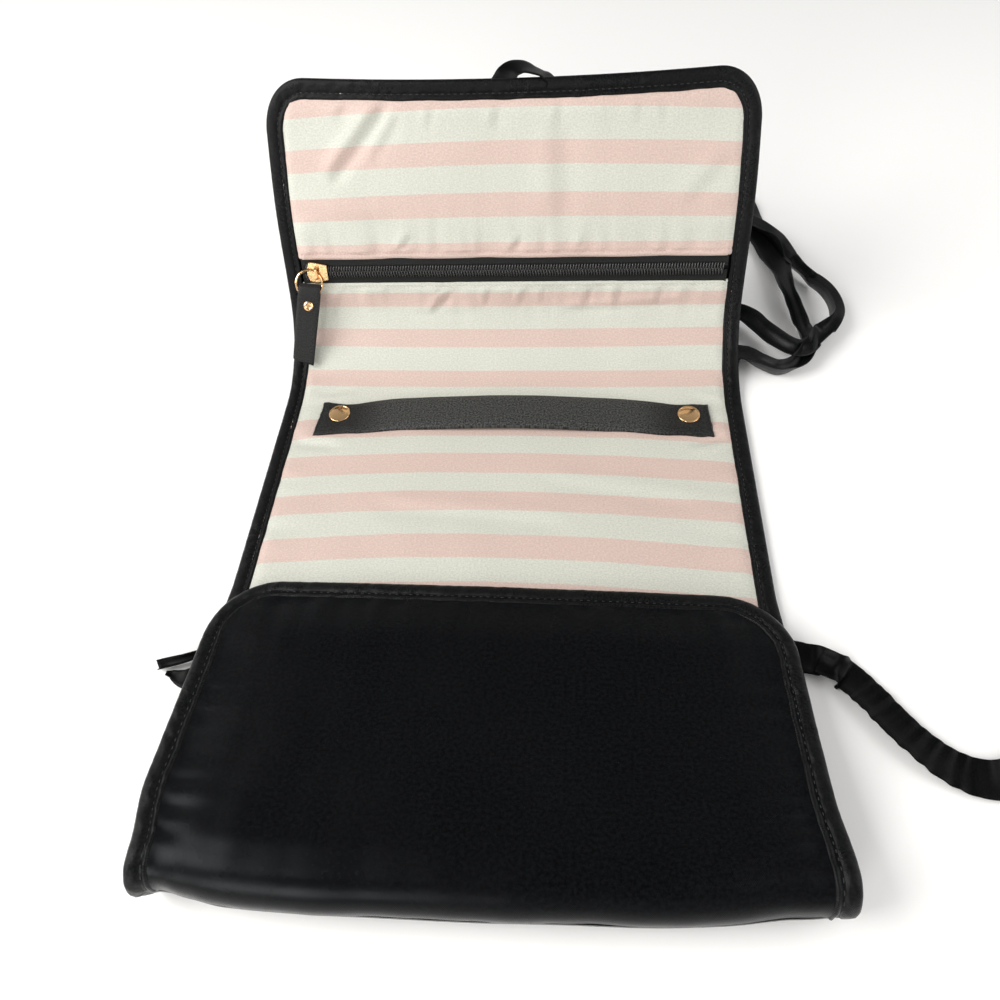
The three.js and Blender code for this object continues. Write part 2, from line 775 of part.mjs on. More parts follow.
const sliderFrame = new THREE.Group();
sliderFrame.position.x = sliderPlace;
zip.add(sliderFrame);
add(sliderFrame, 'zip_slider', toGeometry(slider()), gold);

const pull = new THREE.Group();
pull.position.z = wireHeight;
const hingeLine = new THREE.Vector3(-Math.cos(ringTurn), Math.sin(ringTurn), 0);
pull.quaternion.setFromAxisAngle(hingeLine, pullTilt);
sliderFrame.add(pull);
const ringFrame = new THREE.Group();
ringFrame.position.set(-ringRadius * Math.sin(ringTurn), -ringRadius * Math.cos(ringTurn), 0);
ringFrame.rotation.z = tabTurn;
pull.add(ringFrame);
add(ringFrame, 'pull_ring', new THREE.TorusGeometry(ringRadius, ringWire, cornerSteps, 3 * cornerSteps), gold);
add(ringFrame, 'pull_tab', toGeometry(pullTab()), leather);
const rivet = at(ringFrame, foldTop - rivetPlace);
add(rivet, 'tab_rivet', tabRivet(), gold);

const loopFrame = new THREE.Group();
loopFrame.position.set(loopPlace, topLength, -seat - ribbonThickness / 2);
topFrame.add(loopFrame);
add(loopFrame, 'hang_loop', hangLoop(), ribbonSatin);

// Snap strap on the middle section
add(crease, 'strap_anchor', toGeometry(strapAnchor()), satin);
add(crease, 'strap_band', toGeometry(strapBand()), satin);
[['left', -1], ['right', 1]].forEach(([side, sign]) => {
  const snap = at(crease, strapPlace);
  snap.position.x = sign * snapHalf;
  add(snap, `snap_cap_${side}`, snapCap(), gold);
  add(snap, `snap_socket_${side}`, snapSocket(), gold);
  add(snap, `snap_stud_${side}`, snapStud(), gold);
});

// Lower section, the fold in front of it, the spine and the flap that lies back over it
addSection(front, 'lower', lower, wadding);
addLining(front, 'lower', lower);
addSideBindings(front, 'lower', lower, 1);

const frontFold = { width: lowerWidth, radius: frontRadius, angle: frontAngle, steps: frontSteps };
addFold(at(front, lowerEnd), 'front_fold', frontFold);

const spineFrame = after(front, lowerEnd, frontRadius, frontAngle);
add(spineFrame, 'spine_cover', toGeometry(foldCover({ ...spine, angle: 0, steps: 1 })), satin);
add(spineFrame, 'spine_lining', toGeometry(foldLining({ ...spine, angle: 0, steps: 1 })), stripe);

// The flap's slope lets its free edge rest on the lower section's lining
const flapCentre = middleLayer + frontRadius + spineHeight;
const edgeDrop = frontRadius - (bindingHeight - middleLayer);
const edgeFall = plainStack + seat - flapCentre;
const flapReach = Math.hypot(edgeDrop, flapLength);
const flapSlope = Math.acos(edgeFall / flapReach) - Math.atan2(flapLength, edgeDrop);
const flapAngle = frontAngle + flapSlope;
const flapFold = { width: lowerWidth, radius: frontRadius, angle: flapAngle, steps: frontSteps };
addFold(at(spineFrame, spineHeight), 'flap_fold', flapFold);

const flapFrame = after(spineFrame, spineHeight, frontRadius, flapAngle);
addSection(flapFrame, 'flap', flap, wadding);
addLining(flapFrame, 'flap', flap);
add(flapFrame, 'flap_binding', toGeometry(binding(flap)), satin);

// Ties
function beside(x, y) {
  const next = at(organizer, y);
  next.position.x = x;
  return next;
}

const foldCorner = beside(upperWidth / 2, crease.position.y + middleEnd);
const rightSide = beside(lowerWidth / 2, 0);
const leftSide = beside(-lowerWidth / 2, 0);
add(foldCorner, 'tie_loop', tie(tieRoute, tieWidth, tieSteps, tieRiseShares), ribbonSatin);
add(rightSide, 'tie_sash', tie(sashRoute, sashWidth, sashSteps), ribbonSatin);
add(leftSide, 'tie_tail_upper', tie(upperTailRoute, tailWidth, tailSteps), ribbonSatin);
add(leftSide, 'tie_tail_lower', tie(lowerTailRoute, tailWidth, tailSteps), ribbonSatin);

export default organizer;
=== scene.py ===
# Hanging travel organizer, laid open: black satin outside, striped lining inside, metres throughout.

import math

import bpy
import numpy as np
from mathutils import Matrix, Vector, noise


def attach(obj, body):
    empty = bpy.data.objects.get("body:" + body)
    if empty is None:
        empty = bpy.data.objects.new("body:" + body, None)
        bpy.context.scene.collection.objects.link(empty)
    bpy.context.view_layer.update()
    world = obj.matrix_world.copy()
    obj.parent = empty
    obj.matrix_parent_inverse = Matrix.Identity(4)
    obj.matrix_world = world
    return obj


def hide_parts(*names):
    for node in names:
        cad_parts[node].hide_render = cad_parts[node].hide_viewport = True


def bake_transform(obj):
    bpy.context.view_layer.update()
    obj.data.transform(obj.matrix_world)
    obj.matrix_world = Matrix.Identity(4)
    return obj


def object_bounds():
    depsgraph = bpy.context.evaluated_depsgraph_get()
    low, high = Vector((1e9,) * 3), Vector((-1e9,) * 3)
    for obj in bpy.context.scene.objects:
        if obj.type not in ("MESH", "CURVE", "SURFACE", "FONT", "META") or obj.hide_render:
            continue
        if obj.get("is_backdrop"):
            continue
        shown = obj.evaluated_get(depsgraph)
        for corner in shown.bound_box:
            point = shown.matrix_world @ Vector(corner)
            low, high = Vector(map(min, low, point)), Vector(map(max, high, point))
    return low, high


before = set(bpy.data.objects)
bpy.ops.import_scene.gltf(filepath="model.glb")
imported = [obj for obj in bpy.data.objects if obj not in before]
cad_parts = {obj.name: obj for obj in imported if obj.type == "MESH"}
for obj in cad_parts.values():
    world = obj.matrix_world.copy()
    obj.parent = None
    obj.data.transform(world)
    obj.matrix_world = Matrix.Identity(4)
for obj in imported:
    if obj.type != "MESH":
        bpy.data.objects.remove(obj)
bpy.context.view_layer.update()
mm = 0.001

# Table and camera: the roll lies open on a pale table and is seen from above its folded flap,
# with the camera a little to the right of its middle and turned slightly to the left.
camera_spot = Vector((26.8 * mm, -108.95 * mm, 300.8 * mm))
camera_pitch = math.radians(54.17)
camera_yaw = math.radians(-7.55)
camera_roll = math.radians(-5.34)
ahead = Vector((
    math.sin(camera_yaw) * math.cos(camera_pitch),
    math.cos(camera_yaw) * math.cos(camera_pitch),
    -math.sin(camera_pitch),
))
level = Vector((math.cos(camera_yaw), -math.sin(camera_yaw), 0))
upright = level.cross(ahead)
right = level * math.cos(camera_roll) + upright * math.sin(camera_roll)
above = upright * math.cos(camera_roll) - level * math.sin(camera_roll)
sensor_width = 36
focal_share = 0.753
lens = bpy.data.cameras.new("camera")
lens.sensor_width = sensor_width
lens.lens = sensor_width * focal_share
lens.clip_start = 0.01
camera = bpy.data.objects.new("camera", lens)
camera.matrix_world = Matrix((
    (right.x, above.x, -ahead.x, camera_spot.x),
    (right.y, above.y, -ahead.y, camera_spot.y),
    (right.z, above.z, -ahead.z, camera_spot.z),
    (0, 0, 0, 1),
))
bpy.context.scene.collection.objects.link(camera)
bpy.context.scene.camera = camera
bpy.context.scene.view_settings.view_transform = "Standard"


def new_finish(name, colour, roughness, **sockets):
    finish = bpy.data.materials.new(name)
    finish.use_nodes = True
    shader = finish.node_tree.nodes["Principled BSDF"]
    shader.inputs["Base Color"].default_value = (*colour, 1)
    shader.inputs["Roughness"].default_value = roughness
    for socket, value in sockets.items():
        shader.inputs[socket.replace("_", " ").title().replace("Ior", "IOR")].default_value = value
    return finish, finish.node_tree, shader


def new_mesh(name, points, faces, finish, cloth_spots=None, smooth=True):
    mesh = bpy.data.meshes.new(name)
    mesh.from_pydata([tuple(p) for p in points], [], [tuple(f) for f in faces])
    mesh.validate()
    if cloth_spots is not None:
        layer = mesh.uv_layers.new(name="cloth")
        corners = np.zeros(len(mesh.loops), np.int32)
        mesh.loops.foreach_get("vertex_index", corners)
        layer.data.foreach_set("uv", np.asarray(cloth_spots, np.float32)[corners].ravel())
    mesh.shade_smooth() if smooth else mesh.shade_flat()
    mesh.materials.append(finish)
    piece = bpy.data.objects.new(name, mesh)
    bpy.context.scene.collection.objects.link(piece)
    return piece


table_reach = 4
table_drop = 0.2 * mm
table = new_mesh(
    "table",
    [(x * table_reach, y * table_reach, -table_drop) for x, y in ((-1, -1), (1, -1), (1, 1), (-1, 1))],
    [(0, 1, 2, 3)],
    new_finish("table", (0.95, 0.95, 0.945), 0.7)[0],
)
table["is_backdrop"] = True

# Ribbon ties: flat black satin ribbons that lie on the table. The long one leaves from under the
# raised end, turns back behind it and goes under it again; the sash and two cut ends leave the sides.
tie_thickness = 0.8 * mm
tie_rest = 0.45 * mm
tie_lift = 1.25 * mm
tie_slope_share = 0.04
upper_half = 122.5 * mm
lower_half = 124.5 * mm
fold_start = 166.75 * mm
ties = {
    "tie_loop": {
        "width": 16 * mm,
        "body": "middle_section",
        "far_end": "object",
        "from": (upper_half, fold_start),
        "raised": [(0.3, 0.44), (0.745, 0.885)],
        "ripples": 12,
        "cups": [
            (0, 4), (0.05, 8), (0.075, 40), (0.11, 60), (0.16, 50), (0.21, 60), (0.25, 62), (0.275, 48),
            (0.3, 16), (0.34, 4), (0.43, 8), (0.5, 30), (0.56, 52), (0.6, 62), (0.65, 60), (0.69, 64),
            (0.73, 54), (0.8, 50), (0.86, 50), (0.885, 30), (0.91, 8), (1, 4),
        ],
        "rolls": [
            (0, 0), (0.095, 14), (0.16, -22), (0.21, 24), (0.25, 34), (0.29, 4), (0.34, -4), (0.44, 0),
            (0.53, 6), (0.58, 24), (0.63, -20), (0.67, 24), (0.71, 36), (0.75, -16), (0.79, 30), (0.84, 24),
            (0.92, -16), (1, 0),
        ],
        "route": [
            (-10, 12), (-8, 27), (-3, 37), (4, 38.5), (11.5, 31), (21, 25.5), (31, 29.5), (37.5, 42),
            (39.5, 63), (38.5, 89), (36.5, 108), (33.5, 126), (30, 141), (27, 157), (24.5, 174), (21, 188),
            (14.5, 194), (10.5, 188), (12, 177), (18, 166), (26, 156), (33, 146), (38.7, 130), (43.6, 118),
            (48, 108), (55, 93), (57.5, 79), (55.5, 66), (49.5, 52.5), (42, 43.5), (33, 40.5),
            (25, 47), (18, 56), (12, 65), (4, 70), (-6, 65), (-16, 52), (-25, 37), (-31, 24), (-34, 12),
        ],
    },
    "tie_sash": {
        "width": 15 * mm,
        "body": "lower_section",
        "far_end": "bare",
        "from": (lower_half, 0),
        "raised": [],
        "ripples": 6,
        "cups": [(0, 0), (0.06, 8), (0.12, 34), (0.165, 42), (0.2, 4), (0.3, 14), (0.5, 16), (1, 12)],
        "rolls": [(0, 0), (0.08, 6), (0.16, -12), (0.24, 8), (0.5, 10), (0.75, -6), (1, 4)],
        "route": [
            (-1.5, 28), (3.3, 27), (11.6, 24.4), (17.4, 22), (23, 17), (29.6, 8.1), (36, -1),
            (43, -9), (50, -15), (58, -19), (67, -20), (76, -18), (84, -13), (90, -7),
        ],
    },
}
tie_steps = 260
tails = {
    "tie_tail_upper": {
        "widths": (8 * mm, 8 * mm), "cups": (66, 50), "route": [(0.5, 20.8), (-10.5, 17.2), (-20.5, 13.4)],
    },
    "tie_tail_lower": {
        "widths": (14 * mm, 2 * mm), "cups": (0, 20), "route": [(1, 9.6), (-7, 9.4), (-16.6, 11.4)],
    },
}
tail_steps = 20
tail_rolls = [(0, 0), (0.5, 12), (1, -6)]
look_slope = 0.72


def smooth_step(share):
    share = np.clip(share, 0, 1)
    return share * share * (3 - 2 * share)


def unit(rows):
    return rows / np.linalg.norm(rows, axis=1)[:, None]


def run_along(points):
    """How far along the line each of its points lies."""
    return np.concatenate([[0], np.cumsum(np.linalg.norm(np.diff(points, axis=0), axis=1))])


def smooth_line(route, count):
    """Centripetal Catmull-Rom line through the route, in evenly spaced points."""
    points = np.array(route, float)
    points = np.vstack([2 * points[0] - points[1], points, 2 * points[-1] - points[-2]])
    line = []
    for corners in zip(points, points[1:], points[2:], points[3:]):
        gaps = [
            max(np.linalg.norm(after - before), 1e-9) ** 0.5 for before, after in zip(corners, corners[1:])
        ]
        knots = np.cumsum([0, *gaps])
        for t in np.linspace(knots[1], knots[2], 24, endpoint=False):
            mixed = corners
            for ends in (((0, 1), (1, 2), (2, 3)), ((0, 2), (1, 3)), ((1, 2),)):
                mixed = [
                    (knots[b] - t) / (knots[b] - knots[a]) * before
                    + (t - knots[a]) / (knots[b] - knots[a]) * after
                    for (a, b), before, after in zip(ends, mixed, mixed[1:])
                ]
            line.append(mixed[0])
    line = np.array([*line, points[-2]])
    run = run_along(line)
    even = np.linspace(0, run[-1], count)
    return np.stack([np.interp(even, run, column) for column in line.T], axis=1)


def eased(pairs, count, rounds):
    """Values given at shares of a length, in even steps and with their corners smoothed."""
    values = np.interp(np.linspace(0, 1, count), *zip(*pairs))
    for _ in range(rounds):
        values[1:-1] = (values[:-2] + 2 * values[1:-1] + values[2:]) / 4
    return values


def noise_over(across, along, seed):
    """Seeded noise from -1 to 1 over two coordinates of any shape."""
    across, along = np.broadcast_arrays(across, along)
    values = [noise.noise(Vector((a, b, seed))) for a, b in zip(across.ravel(), along.ravel())]
    return np.array(values).reshape(across.shape)


def new_group(name, inputs, outputs):
    """A node group with the given inputs and number outputs: its tree, what it is given and what it gives."""
    group = bpy.data.node_groups.new(name, "ShaderNodeTree")
    for socket, kind in inputs.items():
        group.interface.new_socket(socket, in_out="INPUT", socket_type="NodeSocket" + kind)
    for socket in outputs:
        group.interface.new_socket(socket, in_out="OUTPUT", socket_type="NodeSocketFloat")
    return group, group.nodes.new("NodeGroupInput").outputs, group.nodes.new("NodeGroupOutput").inputs


def new_node(tree, kind, inputs, **settings):
    """A shader node with its settings; each input is a value or another node's output to link."""
    node = tree.nodes.new("ShaderNode" + kind)
    for setting, value in settings.items():
        setattr(node, setting, value)
    for socket, value in inputs.items():
        if isinstance(value, bpy.types.NodeSocket):
            tree.links.new(value, node.inputs[socket])
        else:
            node.inputs[socket].default_value = value
    return node.outputs


def weave_group():
    """Over-and-under threads from cloth coordinates in metres: a height and a fine light-and-dark grain."""
    group, given, made = new_group(
        "weave", {"Cloth": "Vector", "Threads": "Float", "Stretch": "Float", "Flecks": "Float"},
        ("Height", "Grain"),
    )
    split = new_node(group, "SeparateXYZ", {0: given["Cloth"]})
    sines = []
    for axis in (0, 1):
        scaled = new_node(group, "Math", {0: split[axis], 1: given["Threads"]}, operation="MULTIPLY")
        sines.append(new_node(group, "Math", {0: scaled[0]}, operation="SINE"))
    cross = new_node(group, "Math", {0: sines[0][0], 1: sines[1][0]}, operation="MULTIPLY")
    across = new_node(group, "Math", {0: split[0], 1: given["Stretch"]}, operation="DIVIDE")
    stretched = new_node(group, "CombineXYZ", {0: across[0], 1: split[1]})
    fleck = new_node(
        group, "TexNoise", {"Vector": stretched[0], "Scale": given["Flecks"], "Detail": 2, "Roughness": 0.7},
    )
    total = new_node(group, "Math", {0: cross[0], 1: 0.35, 2: fleck["Fac"]}, operation="MULTIPLY_ADD")
    spread = new_node(group, "MapRange", {"Value": fleck["Fac"], "From Min": 0.36, "From Max": 0.64})
    group.links.new(total[0], made["Height"])
    group.links.new(spread["Result"], made["Grain"])
    return group


def shade_group():
    """Slow, cloudy variation of a finish over its surface, as a value from low to high."""
    group, given, made = new_group(
        "cloudy shade", {"Place": "Vector", "Scale": "Float", "Low": "Float", "High": "Float"}, ("Value",),
    )
    cloud = new_node(group, "TexNoise", {"Vector": given["Place"], "Scale": given["Scale"], "Detail": 4})
    spread = new_node(group, "MapRange", {
        "Value": cloud["Fac"], "From Min": 0.3, "From Max": 0.7, "To Min": given["Low"],
        "To Max": given["High"],
    })
    group.links.new(spread["Result"], made["Value"])
    return group


weave = weave_group()
cloudy = shade_group()


def cloth_finish(name, colour, dark, roughness, threads, stretch, bump, flecks=1700, **sockets):
    """Woven cloth: thread relief and fleck from the weave, and a cloudy roughness. Gives the material, its
    tree and shader, the cloth coordinates and the tint, so that a section can print or shade it further."""
    finish, tree, shader = new_finish(name, colour, roughness, **sockets)
    cloth = new_node(tree, "UVMap", {}, uv_map="cloth")["UV"]
    woven = new_node(
        tree, "Group", {"Cloth": cloth, "Threads": threads, "Stretch": stretch, "Flecks": flecks},
        node_tree=weave,
    )
    clouds = new_node(
        tree, "Group", {"Place": cloth, "Scale": 28, "Low": roughness - 0.06, "High": roughness + 0.08},
        node_tree=cloudy,
    )
    tint = new_node(
        tree, "Mix", {"Factor": woven["Grain"], "A": (*dark, 1), "B": (*colour, 1)}, data_type="RGBA",
    )
    relief = new_node(tree, "Bump", {"Strength": bump, "Distance": 0.2 * mm, "Height": woven["Height"]})
    tree.links.new(clouds["Value"], shader.inputs["Roughness"])
    tree.links.new(tint["Result"], shader.inputs["Base Color"])
    tree.links.new(relief["Normal"], shader.inputs["Normal"])
    return finish, tree, shader, cloth, tint["Result"]


ribbon_satin = cloth_finish(
    "ribbon satin", (0.0095, 0.0103, 0.011), (0.0003, 0.0004, 0.0005), 0.34, 9000, 1.3, 0.35, 1200,
    specular_ior_level=0.22,
)[0]
deep_ribbon = cloth_finish(
    "deep ribbon satin", (0.0022, 0.0025, 0.003), (0.0001, 0.0001, 0.0002), 0.34, 9000, 1.3, 0.35, 1200,
    specular_ior_level=0.08,
)[0]
tie_finishes = {"tie_loop": ribbon_satin, "tie_sash": deep_ribbon}


def skin_faces(rings, sides, first=0, inward=False):
    """The faces of a skin over rings of points that follow each other, closed at both ends."""
    faces = []
    for ring in range(first, first + (rings - 1) * sides, sides):
        for k in range(sides):
            a, b = ring + k, ring + (k + 1) % sides
            faces.append((a, a + sides, b + sides, b) if inward else (a, b, b + sides, a + sides))
    last = first + (rings - 1) * sides
    faces.append(tuple(range(first, first + sides))[:: 1 if inward else -1])
    faces.append(tuple(range(last, last + sides))[:: -1 if inward else 1])
    return faces


def ribbon_mesh(name, centres, wide, thick, width, finish, cups=None):
    """A ribbon with soft selvedges, closed at both ends; cups folds its halves towards each other."""
    count = len(centres)
    halves, flat = np.broadcast_to(width, count) / 2, tie_thickness / 2
    places = [-1, -0.93, -0.6, 0, 0.6, 0.93, 1]
    bulge = [0.35, 0.9, 1, 1, 1, 0.9, 0.35]
    ring = [(p, b * flat) for p, b in zip(places, bulge)]
    ring += [(p, -b * flat) for p, b in zip(reversed(places), reversed(bulge))]
    run = run_along(centres)
    points, spots = [], []
    cups = np.zeros(count) if cups is None else cups
    for i in range(count):
        for share, up in ring:
            across = share * halves[i]
            sway, rise = across * math.cos(cups[i]), abs(across) * math.sin(cups[i])
            points.append(centres[i] + wide[i] * sway + thick[i] * (up + rise))
            spots.append((across, run[i]))
    return new_mesh(name, points, skin_faces(count, len(ring), inward=True), finish, spots)


def tie_frames(route, corner, raised, rolls, count, width):
    """Centres, width and thickness directions of a ribbon that leans over by the given rolls, in degrees."""
    line = smooth_line(route, count) * mm + np.array(corner)
    shares = np.linspace(0, 1, count)
    lean = np.radians(eased(rolls, count, 6))
    stand = np.abs(np.sin(lean)) * width / 2
    off = [np.maximum(start - shares, shares - stop) / tie_slope_share for start, stop in raised]
    line[:, 1] -= stand * look_slope
    centres = np.column_stack([line, tie_rest + tie_lift * sum(1 - smooth_step(o) for o in off) + stand])
    along = unit(np.gradient(centres, axis=0))
    wide = unit(np.cross(along, (0, 0, 1)))
    leaned = wide * np.cos(lean)[:, None] + np.cross(wide, along) * np.sin(lean)[:, None]
    return centres, leaned, np.cross(leaned, along)


def cup_angles(cups, count, seed, ripples):
    """How far the halves of a ribbon are folded towards each other along it, in radians."""
    ripple = noise_over(np.linspace(0, 1, count) * count / 7, seed, 0)
    return np.radians(np.clip(eased(cups, count, 4) + ripples * ripple, 0, 72))


for name, tie in ties.items():
    width = tie["width"]
    centres, wide, thick = tie_frames(
        tie["route"], tie["from"], tie["raised"], tie["rolls"], tie_steps, width,
    )
    cups = cup_angles(tie["cups"], tie_steps, width / mm, tie["ripples"])
    ribbon = ribbon_mesh(name + "_ribbon", centres, wide, thick, width, tie_finishes[name], cups)
    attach(ribbon, tie["body"])
    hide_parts(name)
    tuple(centres[0])
    float(run_along(centres)[-1])
for name, tail in tails.items():
    widths = np.linspace(*tail["widths"], tail_steps)
    centres, wide, thick = tie_frames(tail["route"], (-lower_half, 0), [], tail_rolls, tail_steps, widths[0])
    cups = np.radians(np.linspace(*tail["cups"], tail_steps))
    ribbon = ribbon_mesh(name + "_ribbon", centres, wide, thick, widths, deep_ribbon, cups)
    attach(ribbon, "lower_section")
    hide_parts(name)

# Outer cover: black satin over wadding, in four stretches that follow the roll from the raised end
# to the folded flap. Each stretch bends at one fold, and its edges are caught in the binding.
crease_spot = 71.75 * mm
sheet_start = 10 * mm
seam = 1.5 * mm
middle_layer = 1.9 * mm
back_start = 95 * mm
back_arc = 65.585 * mm
roll_end = 260 * mm
upper_corner = 22 * mm
front_start = 139.5 * mm
front_arc = 14.137 * mm
front_end = 156 * mm
spine_end = 158.637 * mm
flap_start = 174.259 * mm
flap_end = flap_start + 117.5 * mm
flap_corner = 29 * mm
upper_folds = [(back_start, 56 * mm, math.radians(67.1))]
lower_folds = [(front_start, 9 * mm, math.radians(90)), (spine_end, 9 * mm, math.radians(99.4524))]


def together(*values):
    """The values as number arrays of one shape."""
    return np.broadcast_arrays(*(np.asarray(value, float) for value in values))


def roll(folds, facing):
    """Places points given across the roll, along it and above its underside."""

    def place(x, run, height):
        x, run, height = together(x, run, height)
        y, z = run.copy(), height.copy()
        start_y, start_z, start_run, heading = 0.0, 0.0, 0.0, 0.0
        for fold_run, radius, angle in folds:
            base_y = start_y + (fold_run - start_run) * math.cos(heading)
            base_z = start_z + (fold_run - start_run) * math.sin(heading)
            reach = radius + middle_layer
            centre_y = base_y - math.sin(heading) * reach
            centre_z = base_z + math.cos(heading) * reach
            turn = np.clip((run - fold_run) / radius, 0, angle) + heading
            rest = np.maximum(run - fold_run - radius * angle, 0)
            bent_y = centre_y + (reach - height) * np.sin(turn) + rest * np.cos(turn)
            bent_z = centre_z - (reach - height) * np.cos(turn) + rest * np.sin(turn)
            y = np.where(run > fold_run, bent_y, y)
            z = np.where(run > fold_run, bent_z, z)
            heading += angle
            start_y = centre_y + reach * math.sin(heading)
            start_z = centre_z - reach * math.cos(heading)
            start_run = fold_run + radius * angle
        return np.stack([x, crease_spot + facing * y, z], axis=-1)

    return place


flat_upper_roll = roll(upper_folds, 1)
flat_lower_roll = roll(lower_folds, -1)
side_reach = 110 * mm


def hump_at(x, run):
    """The opened roll isn't dead flat: its middle stands up a little between the crease and the strap."""
    level = np.interp(run / mm, [-75, -20, 10, 60, 95, 125], [0, 2.4, 3.3, 2.6, 0.8, 0])
    return level * mm * np.maximum(1 - (x / upper_half) ** 2, 0)


def drawn_at(run):
    """Standing up draws the cloth a little towards the flap."""
    return np.interp(run / mm, [-60, 0, 60, 95], [0, 1, 1, 0]) * mm


def upper_roll(x, run, height):
    x, run, height = together(x, run, height)
    share = smooth_step((run - 185 * mm) / (75 * mm))
    longer = (2.9 * (x / side_reach) ** 2 + 1.8) * mm * share**2
    spot = flat_upper_roll(x * (1 - 0.021 * share**2), run + longer, height)
    spot[..., 2] += hump_at(x, run)
    spot[..., 1] -= drawn_at(run)
    back = 3.5 * mm * smooth_step((np.abs(x) - 45 * mm) / (75 * mm)) * share
    spot[..., 1] += 0.921 * back
    spot[..., 2] -= 0.389 * back
    return spot


fold_line = [
    (-127, 4.2), (-122, 5.3), (-116, 6.6), (-110, 6.2), (-104, 5.0), (-98, 4.1), (-90, 2.6), (-80, 1.8),
    (-60, 0.9), (-30, 0.4), (0, -0.1), (30, 0.1), (60, 0), (80, 0.9), (90, 1.7), (98, 2.8), (104, 3.6),
    (110, 3.9), (116, 4.4), (122, 4.8), (127, 4.6),
]
fold_spots = smooth_line(fold_line, 260)


def lower_roll(x, run, height):
    x, run, height = together(x, run, height)
    tilt = x / side_reach
    free = smooth_step((run - flap_start) / (flap_end - flap_start))
    front = smooth_step(run / (139 * mm))
    humped = smooth_step((130 * mm - run) / (40 * mm))
    near_fold = smooth_step((run - 118 * mm) / (24 * mm)) * smooth_step((205 * mm - run) / (34 * mm))
    outer = smooth_step((np.abs(x) - 92 * mm) / (30 * mm)) * near_fold
    spot = flat_lower_roll(x + np.where(x < 0, 4.6, 1.9) * mm * outer, run, height)
    spot[..., 2] += hump_at(x, -run) * humped
    reach = front * ((0.9 + 2.5 * tilt) * (1 - free) + (2.3 - 1.5 * tilt) * free) * mm
    line = np.interp(x / mm, fold_spots[:, 0], fold_spots[:, 1])
    spot[..., 1] += reach + line * mm * near_fold - drawn_at(-run) * humped
    ear = smooth_step((np.abs(x) - 84 * mm) / (26 * mm))
    ear -= 0.75 * smooth_step((np.abs(x) - 113 * mm) / (6 * mm))
    spot[..., 2] += 1.2 * mm * ear * near_fold * smooth_step((150 * mm - run) / (10 * mm))
    lifted = smooth_step((run - 225 * mm) / (60 * mm))
    spot[..., 2] += lifted * (hump_at(x, -24 * mm) + (0.9 + 0.5 * tilt) * mm)
    return spot


def rounded_half(run, half, end, corner, inset):
    """Half the width that a section has at a run, with round corners at its free end."""
    run = np.asarray(run, float)
    radius = corner - inset
    into = np.clip(run - (end - inset - radius), 0, radius)
    return half - inset - radius + np.sqrt(np.maximum(radius**2 - into**2, 0))


def cloth_piece(name, place, runs, half_at, top, thickness, finish, step=2.2 * mm, print_at=None):
    """A sheet of cloth with thickness, laid along the roll: top(x, run) is the height of its upper face."""
    runs = np.asarray(runs, float)
    halves = np.maximum(half_at(runs), 0.5 * mm)
    columns = int(2 * halves.max() / step)
    across = np.linspace(-1, 1, columns + 1)
    x = across[None, :] * halves[:, None]
    run = np.repeat(runs[:, None], columns + 1, axis=1)
    height = top(x, run)
    upper = place(x, run, height).reshape(-1, 3)
    under = place(x, run, height - thickness).reshape(-1, 3)
    spots = np.stack([x, print_at(x, run) if print_at else run], axis=-1).reshape(-1, 2)
    rows, wide = len(runs), columns + 1
    index = np.arange(rows * wide).reshape(rows, wide)
    quads = np.stack([index[:-1, :-1], index[:-1, 1:], index[1:, 1:], index[1:, :-1]], axis=-1).reshape(-1, 4)
    rim = np.concatenate([index[0, :-1], index[:-1, -1], index[-1, :0:-1], index[:0:-1, 0]])
    behind = rim + rows * wide
    sides = np.stack([rim, behind, np.roll(behind, -1), np.roll(rim, -1)], axis=-1)
    faces = np.concatenate([quads, quads[:, ::-1] + rows * wide, sides])
    if place is lower_roll:
        faces = faces[:, ::-1]
    piece = new_mesh(name, np.vstack([upper, under]), faces, finish, np.vstack([spots, spots]))
    on_rim = np.zeros(2 * rows * wide, bool)
    on_rim[rim] = on_rim[behind] = True
    ends = np.zeros(2 * len(piece.data.edges), np.int32)
    piece.data.edges.foreach_get("vertices", ends)
    sharp = piece.data.attributes.new("sharp_edge", "BOOLEAN", "EDGE")
    sharp.data.foreach_set("value", on_rim[ends.reshape(-1, 2)].all(axis=1))
    return piece


def stretch(start, stop, step=2.2 * mm):
    return np.linspace(start, stop, max(int(abs(stop - start) / step), 2) + 1)


def wander(x, run, scale, seed):
    """Slow, seeded noise over the cloth, from -1 to 1."""
    return noise_over(x / scale, run / scale, seed)


def pucker(edge, along, depth, seed, reach=16 * mm, pitch=7 * mm):
    """Gathers that run in from a sewn edge: edge is the distance from the seam, along the run of it."""
    fade = np.exp(-np.maximum(edge, 0) / reach) * smooth_step(edge / (3 * mm))
    return noise_over(along / pitch, edge / (pitch * 6), seed) * fade * depth


cloth_thickness = 0.6 * mm
black_satin = cloth_finish(
    "black satin", (0.0028, 0.0031, 0.0038), (0, 0, 0.0001), 0.27, 9000, 1.2, 0.22, 800,
    specular_ior_level=0.12, specular_tint=(0.9, 0.95, 1, 1),
)[0]


def flat_cover(half_at):
    def top(x, run):
        edge = half_at(run) - np.abs(x)
        return cloth_thickness + 0.35 * mm * (1 - smooth_step(edge / (10 * mm)))

    return top


def lower_half_at(run):
    widen = smooth_step((run - 14 * mm) / (30 * mm))
    return upper_half + (lower_half - upper_half) * widen - seam


def upper_half_at(run):
    return rounded_half(run, upper_half, roll_end, upper_corner, seam)


def flap_half_at(run):
    return rounded_half(run, lower_half, flap_end, flap_corner, seam)


